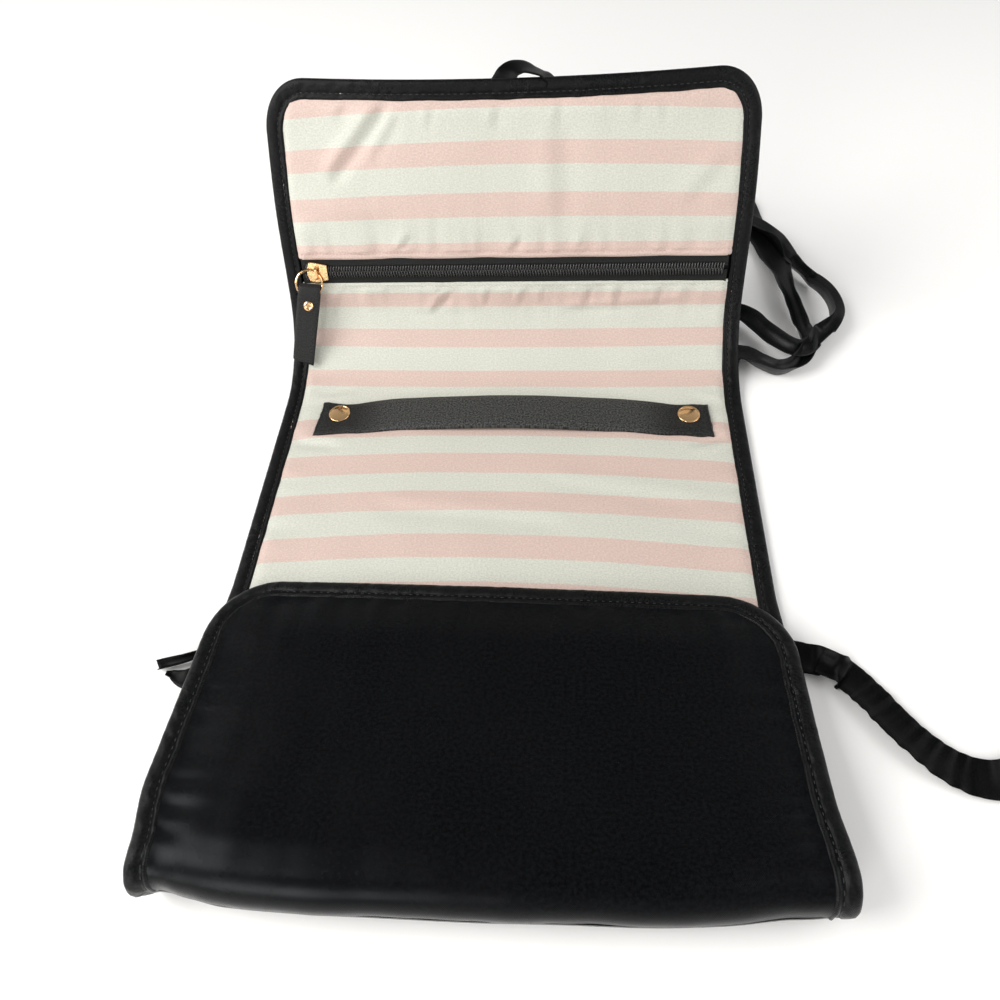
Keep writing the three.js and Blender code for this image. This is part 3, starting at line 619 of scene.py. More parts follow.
def flap_top(x, run):
    """The flap's outside is its underside along the roll, so its swell goes down from the roll's zero."""
    edge = np.minimum(flap_half_at(run) - np.abs(x), flap_end - run) - 7 * mm
    into = run - flap_start
    swell = 1.9 * mm * smooth_step(edge / (22 * mm)) * smooth_step((into + 6 * mm) / (14 * mm))
    folds = 0.6 * mm * wander(x * 1.5, run * 0.5, 44 * mm, 3.1)
    folds += 0.32 * mm * wander(x * 1.4, run * 0.6, 17 * mm, 8.4)
    gather = pucker(flap_half_at(run) - np.abs(x) - 7 * mm, run, 1.1 * mm, 2.2)
    gather += pucker(flap_end - run - 8 * mm, x, 0.9 * mm, 5.5)
    inside = smooth_step(edge / (10 * mm))
    return cloth_thickness - swell - folds * inside - gather


lower_cover = cloth_piece(
    "lower_cover_satin", lower_roll, stretch(-sheet_start, front_start, 4 * mm), lower_half_at,
    flat_cover(lower_half_at), cloth_thickness, black_satin, 4 * mm,
)
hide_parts("lower_cover", "lower_padding", "crease_cover", "crease_padding")
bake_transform(lower_cover)
upper_cover = cloth_piece(
    "upper_cover_satin", upper_roll, stretch(sheet_start, roll_end - seam, 2.6 * mm), upper_half_at,
    flat_cover(upper_half_at), cloth_thickness, black_satin, 3 * mm,
)
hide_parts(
    "middle_cover", "middle_padding", "back_fold_cover", "back_fold_padding", "top_cover",
    "top_padding",
)
back_fold = (
    "middle_section", "top_section", flat_upper_roll(0, back_start, 0),
    flat_upper_roll(0, back_start + back_arc, 0),
)
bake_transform(upper_cover)
front_cover = cloth_piece(
    "front_fold_satin", lower_roll, stretch(front_start, front_end, 1 * mm), lower_half_at,
    flat_cover(lower_half_at), cloth_thickness, black_satin, 3 * mm,
)
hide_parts("front_fold_cover", "front_fold_padding")
front_slack = np.array([0, 3 * mm, -3 * mm])
front_fold = (
    "lower_section", "spine", flat_lower_roll(0, front_start, 0),
    flat_lower_roll(0, front_start + front_arc, 0) + front_slack,
)
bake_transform(front_cover)
flap_cover = cloth_piece(
    "flap_satin", lower_roll, stretch(front_end, flap_end - seam, 1.6 * mm), flap_half_at,
    flap_top, cloth_thickness, black_satin, 1.8 * mm,
)
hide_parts("spine_cover", "flap_fold_cover", "flap_fold_padding", "flap_cover", "flap_padding")
flap_fold = ("spine", "flap", flat_lower_roll(0, spine_end, 0), flat_lower_roll(0, flap_start, 0))
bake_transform(flap_cover)

# Inside pocket bag: a plain black sheet behind the zip. It closes the pocket off from the wadding
# and is sewn in at the raised section's edges.
pocket_height = 1.3 * mm
pocket_inset = 6 * mm
pocket_sheet = cloth_piece(
    "pocket_bag", upper_roll, stretch(162.5 * mm, roll_end - pocket_inset, 6 * mm),
    lambda run: rounded_half(run, upper_half, roll_end, upper_corner, pocket_inset),
    lambda x, run: np.full(np.shape(x), pocket_height), 0.4 * mm, black_satin, 8 * mm,
)
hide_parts("pocket_back")
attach(pocket_sheet, "top_section")

# Striped lining: thin satin printed with pink and cream bands, laid over the wadding and caught in
# the binding. It is cut at the zip, where its two edges are turned in and stitched down as lips.
stripe_edges = [
    *range(-282, -65, 12), -53.5, -40.5, -27, -15.2, -2.1, 10.5, 23.7, 35.8, 47.5, 59.2, 70.4, 84,
    106.4, 117.1, 129.7, 140.9, 152.6, 161.3, 173, 187.6, 199.5, 211.3, 223.3, 234.5, 247.2,
]
upper_print = (-30 * mm, 262 * mm)
lower_print = (30 * mm, -295 * mm)
pink = (0.62, 0.475, 0.42)
cream = (0.59, 0.6, 0.53)


def striped_finish(name, start, stop):
    """Cloth printed with the bands that lie between two runs; below the crease they run backwards."""
    finish, tree, shader, cloth, tint = cloth_finish(
        name, (1, 1, 1), (0.8, 0.8, 0.8), 0.5, 9000, 1.3, 0.35, 1300, sheen_weight=0.08, sheen_roughness=0.5,
    )
    low, high = min(start, stop), max(start, stop)
    facing = 1 if stop > start else -1
    split = new_node(tree, "SeparateXYZ", {0: cloth})
    share = new_node(tree, "MapRange", {
        "Value": split[1], "From Min": facing * low, "From Max": facing * high,
    })
    bands = tree.nodes.new("ShaderNodeValToRGB")
    bands.color_ramp.interpolation = "CONSTANT"
    shown = [k for k, edge in enumerate(stripe_edges) if facing * edge > facing * start / mm]
    ramp = bands.color_ramp.elements
    ramp[0].color = (*(pink, cream)[shown[0] % 2], 1)
    for k in shown:
        ramp.new((stripe_edges[k] * mm - low) / (high - low)).color = (*(pink, cream)[(k + 1) % 2], 1)
    ramp[len(ramp) - 1].color = ramp[len(ramp) - 2].color
    tree.links.new(share["Result"], bands.inputs["Fac"])
    dyed = new_node(
        tree, "Mix", {"Factor": 1, "A": bands.outputs["Color"], "B": tint}, data_type="RGBA",
        blend_type="MULTIPLY",
    )
    tree.links.new(dyed["Result"], shader.inputs["Base Color"])
    return finish


striped_upper = striped_finish("striped lining", *upper_print)
striped_lower = striped_finish("striped lining below", *lower_print)
zip_run = 173.585 * mm
zip_half = 6.3 * mm
face_height = 3.8 * mm
zip_face_height = 5.6 * mm
rim_height = 2.5 * mm


def bowed_print(x, run):
    """The bands aren't cut quite square to the roll: towards both sides they run a little off."""
    off = np.interp(run / mm, [-20, 10, 60, 95, 130, 175, 190, 247], [4.2, 4.0, 2.2, 0, -1.2, 0.3, 0.8, 5.5])
    return run + off * mm * (x / side_reach) ** 2


low_creases = [
    ((-44.5, 151), (-33, 162.5), 2.0, 0.9), ((-14.5, 155), (-13, 164), 1.5, 0.7),
    ((4, 154.5), (6, 164), 1.8, 0.8), ((16, 156), (16.5, 164), 1.4, 0.6),
    ((38.5, 153.5), (41, 164), 2.0, 0.8), ((55, 155), (56.5, 164), 1.5, 0.6),
    ((76, 154), (78, 164), 1.6, 0.6), ((28, 152), (90, 156.5), 1.9, 0.7),
    ((-56, 150.5), (-20, 152), 1.6, 0.35), ((-99, 148), (-94, 162), 1.8, 0.6),
    ((-111, 70), (-86, 66.5), 2.6, 0.8), ((94, 66.5), (114, 72), 2.6, -0.8),
    ((-104, 99), (-86, 103), 2.6, -0.6), ((98, 101), (113, 98), 2.4, 0.6),
    ((-114, 78), (-112, 92), 2.0, 0.5), ((-60, 28), (30, 20), 5.0, 0.5), ((20, 45), (95, 34), 5.0, 0.45),
    ((60, 120), (108, 131), 4.0, 0.5),
]
high_creases = [
    ((-92, 219), (-60, 252), 3.6, 1.3), ((-70, 226), (-54, 246), 3.0, 0.5),
    ((-87, 246), (-79, 249), 1.8, 0.7), ((24, 240), (24.5, 250), 2.4, 0.45),
    ((62, 239), (63, 250), 2.4, 0.4), ((75, 240), (74, 250), 2.2, 0.4), ((24, 196), (24, 246), 7.0, 0.7),
    ((86, 205), (108, 226), 5.0, 0.6), ((-8, 240), (-5, 249), 2.6, 0.5), ((-40, 240), (-38, 250), 2.4, 0.4),
    ((-60, 184), (-52, 192), 1.8, 0.7), ((0, 184), (6, 191), 1.8, 0.6), ((34, 184), (38, 190), 1.6, 0.5),
    ((-100, 203), (-60, 199), 6.0, 0.4),
]
crease_depth = 1.45


def creased(x, run, creases):
    """Soft folds, each a ridge beside a valley that fades out at both ends."""
    total = np.zeros(np.shape(x))
    for (x0, run0), (x1, run1), width, depth in creases:
        length = math.hypot(x1 - x0, run1 - run0)
        cos, sin = (x1 - x0) / length, (run1 - run0) / length
        along = (x / mm - x0) * cos + (run / mm - run0) * sin
        off = (run / mm - run0) * cos - (x / mm - x0) * sin
        fade = smooth_step((along + width) / (3 * width))
        fade *= smooth_step((length + width - along) / (3 * width))
        ridge = np.exp(-((off / width - 0.6) ** 2)) - np.exp(-((off / width + 0.6) ** 2))
        total += crease_depth * depth * mm * fade * ridge
    return total


def face_at(half_at, level_at, seed, end=None, facing=1, creases=()):
    """The lining's upper face: a soft field that dips to the rim where the binding takes it."""

    def top(x, run):
        edge = half_at(run) + seam - np.abs(x)
        if end is not None:
            edge = np.minimum(edge, end - run)
        inside = edge - 8.5 * mm
        level = level_at(run)
        along = run * facing
        field = level + 0.8 * mm * wander(x, along, 60 * mm, seed)
        field += 0.45 * mm * wander(x, along, 24 * mm, seed + 4)
        field += pucker(inside, along, 1.8 * mm, seed + 7, 13 * mm, 8 * mm) + creased(x, run, creases)
        if end is not None:
            field += pucker(end - run - 8.5 * mm, x, 0.7 * mm, seed + 9, 11 * mm, 9 * mm)
        field -= 0.4 * mm * np.exp(-np.maximum(inside, 0) / (2.5 * mm))
        return rim_height + (field - rim_height) * smooth_step((inside + 0.5 * mm) / (3.4 * mm))

    return top


def lower_level(run):
    return np.full(np.shape(run), face_height)


def upper_level(run):
    return face_height + (zip_face_height - face_height) * smooth_step((run - 150 * mm) / (15 * mm))


def high_level(run):
    return zip_face_height - 1.5 * mm * smooth_step((run - 186 * mm) / (60 * mm))


lower_lining = cloth_piece(
    "lower_striped_lining", lower_roll, stretch(-sheet_start - 0.5 * mm, front_start), lower_half_at,
    face_at(lower_half_at, lower_level, 5.7, facing=-1), cloth_thickness, striped_lower,
    print_at=lambda x, run: -bowed_print(x, -run),
)
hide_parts("lower_lining", "crease_lining")
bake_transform(lower_lining)
front_lining = cloth_piece(
    "front_fold_lining_satin", lower_roll, stretch(front_start, front_end), lower_half_at,
    face_at(lower_half_at, lower_level, 2.7), cloth_thickness, striped_lower, 4 * mm,
)
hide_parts("front_fold_lining")
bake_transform(front_lining)
flap_lining = cloth_piece(
    "flap_striped_lining", lower_roll, stretch(front_end, flap_end - seam), flap_half_at,
    face_at(flap_half_at, lower_level, 3.7, flap_end), cloth_thickness, striped_lower, 4 * mm,
)
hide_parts("spine_lining", "flap_fold_lining", "flap_lining")
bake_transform(flap_lining)

low_face = face_at(upper_half_at, upper_level, 5.7, creases=low_creases)
high_face = face_at(upper_half_at, high_level, 9.7, roll_end, creases=high_creases)
low_lip_seam = 2.2 * mm
high_lip_seam = 3 * mm


def gathered(face, x, run, facing, depth, seed, reach, pitch, seam_at):
    """A face beside the zip, drawn into small upright folds by the stitches of its lip."""
    from_zip = facing * (run - zip_run) - zip_half
    inside = upper_half_at(run) - 8 * mm - np.abs(x)
    gather = pucker(from_zip - 1.5 * mm, x, depth, seed, reach, pitch) * smooth_step(inside / (5 * mm))
    lip = 0.55 * mm * (1 - smooth_step(from_zip / (0.9 * mm)))
    sewn = 0.3 * mm * np.exp(-(((from_zip - seam_at) / (0.7 * mm)) ** 2))
    return face(x, run) + np.maximum(gather, -0.45 * mm) - lip - sewn


def gathered_low(x, run):
    return gathered(low_face, x, run, -1, 2.1 * mm, 12.3, 9 * mm, 5.5 * mm, low_lip_seam)


def gathered_high(x, run):
    wave = 0.5 * mm * np.sin(x / (7.5 * mm)) * np.exp(-np.maximum(run - zip_run - zip_half, 0) / (6 * mm))
    return gathered(high_face, x, run, 1, 2.2 * mm, 15.3, 10 * mm, 6.5 * mm, high_lip_seam) + wave


fine_reach = 6 * mm
low_lip = zip_run - zip_half
high_lip = zip_run + zip_half
low_runs = [
    stretch(sheet_start + 0.5 * mm, low_lip - fine_reach)[:-1],
    stretch(low_lip - fine_reach, low_lip, 0.5 * mm),
]
high_runs = [
    stretch(high_lip, high_lip + fine_reach, 0.5 * mm)[:-1],
    stretch(high_lip + fine_reach, roll_end - seam),
]
low_lining = cloth_piece(
    "upper_striped_lining", upper_roll, np.concatenate(low_runs), upper_half_at, gathered_low,
    cloth_thickness, striped_upper, 1.7 * mm, print_at=bowed_print,
)
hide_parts("middle_lining", "back_fold_lining", "pocket_lip")
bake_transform(low_lining)
high_lining = cloth_piece(
    "raised_striped_lining", upper_roll, np.concatenate(high_runs), upper_half_at, gathered_high,
    cloth_thickness, striped_upper, 1.7 * mm, print_at=bowed_print,
)
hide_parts("top_lining")
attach(high_lining, "top_section")

# Binding: black satin tape folded over every outer edge and topstitched near its inner edge. The
# stitches draw it into small cross folds, closer together round the corners.
binding_satin = cloth_finish(
    "binding satin", (0.0058, 0.0063, 0.007), (0.0001, 0.0001, 0.0002), 0.27, 9000, 1.2, 0.5, 1100,
    specular_ior_level=0.14,
)[0]
thread_black = cloth_finish(
    "black thread", (0.016, 0.017, 0.018), (0.004, 0.004, 0.0045), 0.5, 22000, 1, 0.4,
)[0]
stitch_pitch = 3.1 * mm


def edge_path(half, start, end, corner, step):
    """Along one side, round the corners if any and back along the other side, with inward normals."""
    path = []
    for run in stretch(start, end - corner, step):
        path.append((-half, run, 1, 0))
    if corner:
        for turn in stretch(0, math.pi / 2, step / corner)[1:]:
            c, s = math.cos(turn), math.sin(turn)
            path.append((-half + corner - corner * c, end - corner + corner * s, c, -s))
        for x in stretch(-half + corner, half - corner, step)[1:]:
            path.append((x, end, 0, -1))
        for turn in stretch(math.pi / 2, 0, step / corner)[1:]:
            c, s = math.cos(turn), math.sin(turn)
            path.append((half - corner + corner * c, end - corner + corner * s, -c, -s))
        for run in stretch(end - corner, start, step)[1:]:
            path.append((half, run, -1, 0))
    return np.array(path)


def binding_piece(name, place, path, low, finish, seed, mirror=False):
    """The folded tape along a path, as a soft closed ring of points at each step."""
    xs, runs = path[:, 0], path[:, 1]
    normals = path[:, 2:]
    along = run_along(path[:, :2])
    spots = np.array([0, 0.35, 1.1, 2.2, 3.5, 4.7, 5.4, 6.0, 6.6, 7.2, 7.8, 8.4, 8.8, 9.0]) * mm
    rise = np.array([0, 0.62, 0.9, 1.0, 1.0, 0.9, 0.74, 0.5, 0.56, 0.82, 0.92, 0.84, 0.6, 0.3])
    middle = (binding_high + low) / 2
    half = (binding_high - low) / 2
    drawn = 0.5 + 0.5 * smooth_step(1 - np.abs(spots / mm - 5.5) / 4)
    folds = noise_over((along[:, None] + spots) / (3 * mm), spots / (5 * mm), seed)
    slow = noise_over(along[:, None] / (13 * mm), spots / (9 * mm), seed + 5)
    shape = rise * (1 + 0.3 * folds * drawn + 0.14 * slow)
    wobble = noise_over(along / (9 * mm), 0, seed + 2)[:, None] * 0.35 * mm
    inset = spots + wobble * (spots / spots[-1])
    inner_x = xs[:, None] + normals[:, :1] * inset
    inner_run = runs[:, None] + normals[:, 1:] * inset
    top = place(inner_x, inner_run, middle + half * shape)
    bottom = place(inner_x, inner_run, middle - half * (np.minimum(shape, 1) if low > 0 else shape))
    ring = np.concatenate([top, bottom[:, ::-1]], axis=1)
    around = np.concatenate([spots, -spots[::-1]])
    cloth_spots = np.stack(np.broadcast_arrays(around, along[:, None]), axis=-1).reshape(-1, 2)
    faces = [face[:: -1 if mirror else 1] for face in skin_faces(len(xs), ring.shape[1])]
    return new_mesh(name, ring.reshape(-1, 3), faces, finish, cloth_spots)


def stitch_row(name, place, path, inset, height, finish, pitch, size=(1.0 * mm, 0.22 * mm), side=1, slant=0):
    """Short threads laid end to end along a path, each one a small closed spindle."""
    along = run_along(path[:, :2])
    points, faces, spots = [], [], []
    for middle in np.arange(pitch, along[-1] - pitch / 2, pitch):
        stations = middle + np.linspace(-1, 1, 5) * size[0]
        x, run, nx, nr = (np.interp(stations, along, column) for column in path.T)
        thick = size[1] * np.array([0.35, 0.9, 1, 0.9, 0.35])
        drop = np.array([-0.25, 0.05, 0.12, 0.05, -0.25]) * mm
        faces += skin_faces(5, 6, first=len(points))
        for k in range(5):
            for turn in np.arange(6) * math.pi / 3:
                reach = inset + slant * (k - 2) / 2 * size[0] + thick[k] * math.cos(turn)
                px, prun = x[k] + nx[k] * reach, run[k] + nr[k] * reach
                up = height(px, prun) if callable(height) else height
                points.append(place(px, prun, up + side * (drop[k] + thick[k] * math.sin(turn))))
                spots.append((turn * 0.2 * mm, stations[k]))
    return new_mesh(name, points, faces, finish, spots)


def side_paths(half, start, end, step):
    left = edge_path(half, start, end, 0, step)
    return {"left": left, "right": left * (-1, 1, -1, 1)}


binding_high = 3.5 * mm
binding_low = 0.05 * mm
flap_binding_low = -0.8 * mm
stitch_inset = 6.1 * mm
stitch_height = 2.75 * mm
flap_stitch_height = 0.1 * mm
path_step = 0.8 * mm
upper_edge = edge_path(upper_half, sheet_start, roll_end, upper_corner, path_step)
upper_binding = binding_piece("upper_binding_tape", upper_roll, upper_edge, binding_low, binding_satin, 1.3)
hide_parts("middle_binding_left", "middle_binding_right", "top_binding")
upper_stitches = stitch_row(
    "upper_binding_stitches", upper_roll, upper_edge, stitch_inset, stitch_height, thread_black, stitch_pitch,
)
for piece in (upper_binding, upper_stitches):
    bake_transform(piece)

flap_edge = edge_path(lower_half, front_end, flap_end, flap_corner, path_step)
flap_binding = binding_piece(
    "flap_binding_tape", lower_roll, flap_edge, flap_binding_low, binding_satin, 4.3, mirror=True,
)
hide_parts("flap_binding")
flap_stitches = stitch_row(
    "flap_binding_stitches", lower_roll, flap_edge, stitch_inset, flap_stitch_height, thread_black,
    stitch_pitch, side=-1,
)
for piece in (flap_binding, flap_stitches):
    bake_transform(piece)

for side, path in side_paths(lower_half, -sheet_start, front_start, path_step).items():
    narrow = (1 - smooth_step((path[:, 1] - 14 * mm) / (30 * mm))) * (lower_half - upper_half)
    path[:, 0] += narrow * path[:, 2]
    tape = binding_piece(
        "lower_binding_tape_" + side, lower_roll, path, binding_low, binding_satin, 1.3,
        mirror=side == "left",
    )
    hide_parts("lower_binding_" + side)
    stitches = stitch_row(
        "lower_binding_stitches_" + side, lower_roll, path, stitch_inset, stitch_height, thread_black,
        stitch_pitch,
    )
    for piece in (tape, stitches):
        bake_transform(piece)
for side, path in side_paths(lower_half, front_start, front_end, path_step).items():
    tape = binding_piece(
        "front_binding_tape_" + side, lower_roll, path, binding_low, binding_satin, 7.3,
        mirror=side == "left",
    )
    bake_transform(tape)

# Lip stitches: one row of pink thread above the zip and one of cream thread below it. They hold
# the lining's turned edges down on the zip tapes.
thread_pink = cloth_finish("pink thread", (0.72, 0.5, 0.46), (0.6, 0.4, 0.37), 0.5, 22000, 1, 0.3)[0]
thread_cream = cloth_finish("cream thread", (0.72, 0.7, 0.64), (0.55, 0.53, 0.48), 0.5, 22000, 1, 0.3)[0]
lip_span = upper_half - 9.5 * mm
lip_pitch = 1.9 * mm
lip_thread = (0.9 * mm, 0.24 * mm)
lip_slant = 0.55


def straight_path(run, facing):
    xs = stretch(-lip_span, lip_span, 1.5 * mm)
    return np.stack([xs, np.full(xs.shape, run), xs * 0, np.full(xs.shape, facing)], axis=1)


low_stitches = stitch_row(
    "cream_lip_stitches", upper_roll, straight_path(low_lip, -1), low_lip_seam, gathered_low, thread_cream,
    lip_pitch, lip_thread, slant=lip_slant,
)
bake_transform(low_stitches)
high_stitches = stitch_row(
    "pink_lip_stitches", upper_roll, straight_path(high_lip, 1), high_lip_seam, gathered_high, thread_pink,
    lip_pitch, lip_thread, slant=lip_slant,
)
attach(high_stitches, "top_section")

# Zip tapes: two strips of black twill tape, sewn under the lips of the lining. Each has a thick
# woven edge along its coil.
tape_half = 112.3 * mm
tape_finish = cloth_finish(
    "zip tape", (0.016, 0.0168, 0.0165), (0.002, 0.0022, 0.0022), 0.6, 8000, 1, 0.7, sheen_weight=0.02,
    specular_ior_level=0.2,
)[0]
tape_edge = 1.0 * mm
tape_reach = 11.5 * mm
tape_height = 4.75 * mm


def tape_top(x, run):
    away = np.abs(run - zip_run)
    cord_line = 0.35 * mm * np.exp(-(((away - 3.2 * mm) / (0.5 * mm)) ** 2))
    part = smooth_step((-x - 98 * mm) / (10 * mm))
    tucked = 1.3 * mm * smooth_step((away - 6.4 * mm) / (2 * mm))
    return tape_height + cord_line + 0.1 * mm * wander(x, run, 30 * mm, 2.0) - 0.2 * mm * part - tucked


for name, near, far in (
    ("zip_tape_lower", zip_run - tape_reach, zip_run - tape_edge),
    ("zip_tape_upper", zip_run + tape_edge, zip_run + tape_reach),
):
    tape = cloth_piece(
        name + "_twill", upper_roll, stretch(near, far, 0.7 * mm),
        lambda run: np.full(np.shape(run), tape_half),
        tape_top, 0.4 * mm, tape_finish, 2 * mm,
    )
    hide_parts(name)
    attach(tape, "top_section")

# Zip coils: one nylon spiral per tape, sewn to its edge, whose loops hook between those of the other.
# Left of the slider the two rows part.
tooth_pitch = 1.45 * mm
tooth_steps = 14
tooth_reach = 1.75 * mm
tooth_rise = 0.62 * mm
coil_away = 1.15 * mm
coil_height = 5.85 * mm
coil_wire = 0.34 * mm
coil_sides = 5
coil_plastic = cloth_finish(
    "zip coil", (0.022, 0.0222, 0.022), (0.01, 0.0102, 0.01), 0.24, 20000, 1, 0.1, specular_ior_level=0.8,
)[0]
slider_spot = -103.4 * mm
for name, sign, start in (("zip_coil_lower", -1, 0), ("zip_coil_upper", 1, math.pi)):
    xs = np.arange(-tape_half + 2 * mm, tape_half - 2 * mm, tooth_pitch / tooth_steps)
    phase = xs * (2 * math.pi / tooth_pitch) + start
    part = smooth_step((slider_spot + 2 * mm - xs) / (7 * mm)) * 1.5 * mm
    run = zip_run + sign * (coil_away + part - tooth_reach * np.cos(phase))
    centres = upper_roll(xs, run, coil_height + tooth_rise * np.sin(phase))
    along = unit(np.gradient(centres, axis=0))
    side = unit(np.cross(along, (1.0, 0.0, 0.0)))
    up = np.cross(along, side)
    ring = (np.arange(coil_sides) * 2 * math.pi / coil_sides)[None, :, None]
    around = np.cos(ring) * side[:, None, :] + np.sin(ring) * up[:, None, :]
    points = centres[:, None, :] + coil_wire * around
    coil = new_mesh(
        name + "_spiral", points.reshape(-1, 3), skin_faces(len(xs), coil_sides), coil_plastic,
        np.repeat(np.stack([xs, run], axis=-1), coil_sides, axis=0),
    )
    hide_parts(name)
    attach(coil, "top_section")

# Slider, ring, rivet and caps: pressed brass with a warm gold plating, faintly scratched. The slider
# runs on the coils, the ring hangs in its bail and the rivet goes through the leather.
gold, gold_tree, gold_shader = new_finish("gold plating", (0.82, 0.53, 0.27), 0.16, metallic=1.0)
gold_place = new_node(gold_tree, "TexCoord", {})["Object"]
scratch = new_node(gold_tree, "TexNoise", {"Vector": gold_place, "Scale": 900, "Detail": 5})["Fac"]
gold_rough = new_node(gold_tree, "MapRange", {"Value": scratch, "To Min": 0.06, "To Max": 0.24})
gold_bump = new_node(gold_tree, "Bump", {"Height": scratch, "Strength": 0.08, "Distance": 0.05 * mm})
gold_tree.links.new(gold_rough["Result"], gold_shader.inputs["Roughness"])
gold_tree.links.new(gold_bump["Normal"], gold_shader.inputs["Normal"])
for name in ("zip_slider", "pull_ring", "tab_rivet"):
    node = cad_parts[name]
    node.data.materials.clear()
    node.data.materials.append(gold)

# Pull tab: one strip of black grained leather folded round the ring and riveted through both leaves.
# It hangs a little to the left of the ring and is cut off slanting.
leather = cloth_finish(
    "black leather", (0.026, 0.0265, 0.027), (0.001, 0.001, 0.0012), 0.42, 9000, 1, 0.6, 1500,
    specular_ior_level=0.25,
)[0]
ring_spots = np.array([v.co[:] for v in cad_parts["pull_ring"].data.vertices])
rivet_spots = np.array([v.co[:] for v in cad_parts["tab_rivet"].data.vertices])
ring_centre = ring_spots.mean(axis=0)
ring_normal = np.linalg.svd(ring_spots - ring_centre, full_matrices=False)[2][2]
ring_normal *= -np.sign(ring_normal[1])
tab_down = rivet_spots.mean(axis=0) - ring_centre
tab_down -= ring_normal * (tab_down @ ring_normal)
tab_down /= np.linalg.norm(tab_down)
tab_across = np.cross(ring_normal, tab_down)
tab_half = 6 * mm
tab_leather = 0.4 * mm
tab_line = [
    (42.2, 0.52), (36, 0.56), (28, 0.52), (20, 0.5), (12, 0.5), (9.2, 0.62), (7.2, 1.25), (4.6, 1.5),
    (2.6, 1.25), (0.6, 0.65), (0.2, 0), (0.6, -0.65), (2.6, -1.25), (4.6, -1.5), (7.2, -1.25), (9.2, -0.62),
    (12, -0.5), (20, -0.5), (28, -0.5), (36, -0.5), (41.6, -0.5),
]
tab_strip = smooth_line(tab_line, 90)
tab_facing = unit(np.gradient(tab_strip, axis=0))
tab_columns = [-1, -0.96, -0.7, -0.35, 0, 0.35, 0.7, 0.96, 1]
tab_points, tab_spots = [], []
for (down, out), (step_down, step_out) in zip(tab_strip, tab_facing):
    for face in (1, -1):
        for column in tab_columns[::face]:
            across = tab_half * column * np.interp(down, [1, 10, 42], [0.93, 1, 0.94])
            skin = face * tab_leather * (1 if abs(column) < 0.9 else 0.9 if abs(column) < 0.99 else 0.5)
            slant = (-0.3 * across + 0.35 * mm * math.sin(across / (2 * mm))) * smooth_step((down - 24) / 18)
            dent = 0.16 * mm * noise.noise(Vector((down / 7, column * 1.4, 3.3)))
            low = down * mm + slant - step_out * skin
            across += 0.07 * (low - 8 * mm)
            up = out * mm + step_down * -skin + dent
            tab_points.append(ring_centre + tab_across * -across + tab_down * low + ring_normal * up)
            tab_spots.append((across, low + out * mm))
tab_faces = skin_faces(len(tab_strip), 2 * len(tab_columns), inward=True)
tab = new_mesh("pull_tab_leather", tab_points, tab_faces, leather, tab_spots)
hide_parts("pull_tab")
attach(tab, "pull")

# Snap strap: a flat padded bar of black satin, sewn down beyond its left snap and closed by a gold
# capped press stud at each end.
strap_run = 86.2 * mm
strap_half = 103 * mm
strap_width = 11 * mm
strap_height = 5.1 * mm
strap_arch = 3.4 * mm
strap_thickness = 1.9 * mm
strap_hinge = (-81.8 * mm, 160.15 * mm, 8 * mm)
cap_spot = 92 * mm
cap_rise = 2.6 * mm
cap_run = strap_run + cap_rise


def strap_top(x, run):
    out = np.abs(x)
    edge = np.minimum(strap_half - out, strap_width - np.abs(run - strap_run))
    swell = 0.75 * mm * smooth_step(edge / (4.5 * mm))
    roll_off = 0.6 * mm * (1 - smooth_step(edge / (0.9 * mm)))
    dents = 0.14 * mm * wander(x, run, 14 * mm, 6.6) + 0.1 * mm * wander(x, run, 40 * mm, 1.6)
    ends = smooth_step((out - 76 * mm) / (14 * mm))
    beside = smooth_step((np.hypot(out - cap_spot, run - cap_run) - 5.5 * mm) / (2 * mm))
    dents = dents + 0.34 * mm * ends * beside * wander(x, run, 6 * mm, 2.6)
    caps = 0.7 * mm * np.exp(-((((out - cap_spot) ** 2 + (run - cap_run) ** 2) / (7.5 * mm) ** 2) ** 2))
    arch = strap_arch * np.cos(np.clip(x / (strap_half - 16 * mm), -1, 1) * math.pi / 2) ** 2
    return strap_height + arch + swell + dents - roll_off - caps


def strap_place(x, run, height):
    """The strap on the roll: its sewn ends sag towards the crease and are drawn in beside the caps."""
    x, run, height = together(x, run, height)
    out = np.abs(x)
    sag = smooth_step((out - 56 * mm) / (34 * mm))
    drawn = 0.08 * np.exp(-(((out - 87 * mm) / (7 * mm)) ** 2))
    flare = np.where(x < 0, 0.05, -0.05) * smooth_step((out - 94 * mm) / (8 * mm))
    off = (run - strap_run) * (1 - drawn + flare)
    ragged = 0.5 * mm * smooth_step((out - 92 * mm) / (8 * mm)) * wander(x, run, 3 * mm, 4.2)
    shift = 1.1 * mm + 0.5 * mm * sag - np.sign(x) * 0.07 * off * sag
    sagged = strap_run + off - np.where(x < 0, 2.9, 2.2) * mm * sag + ragged
    return upper_roll(x + shift + ragged, sagged, height)


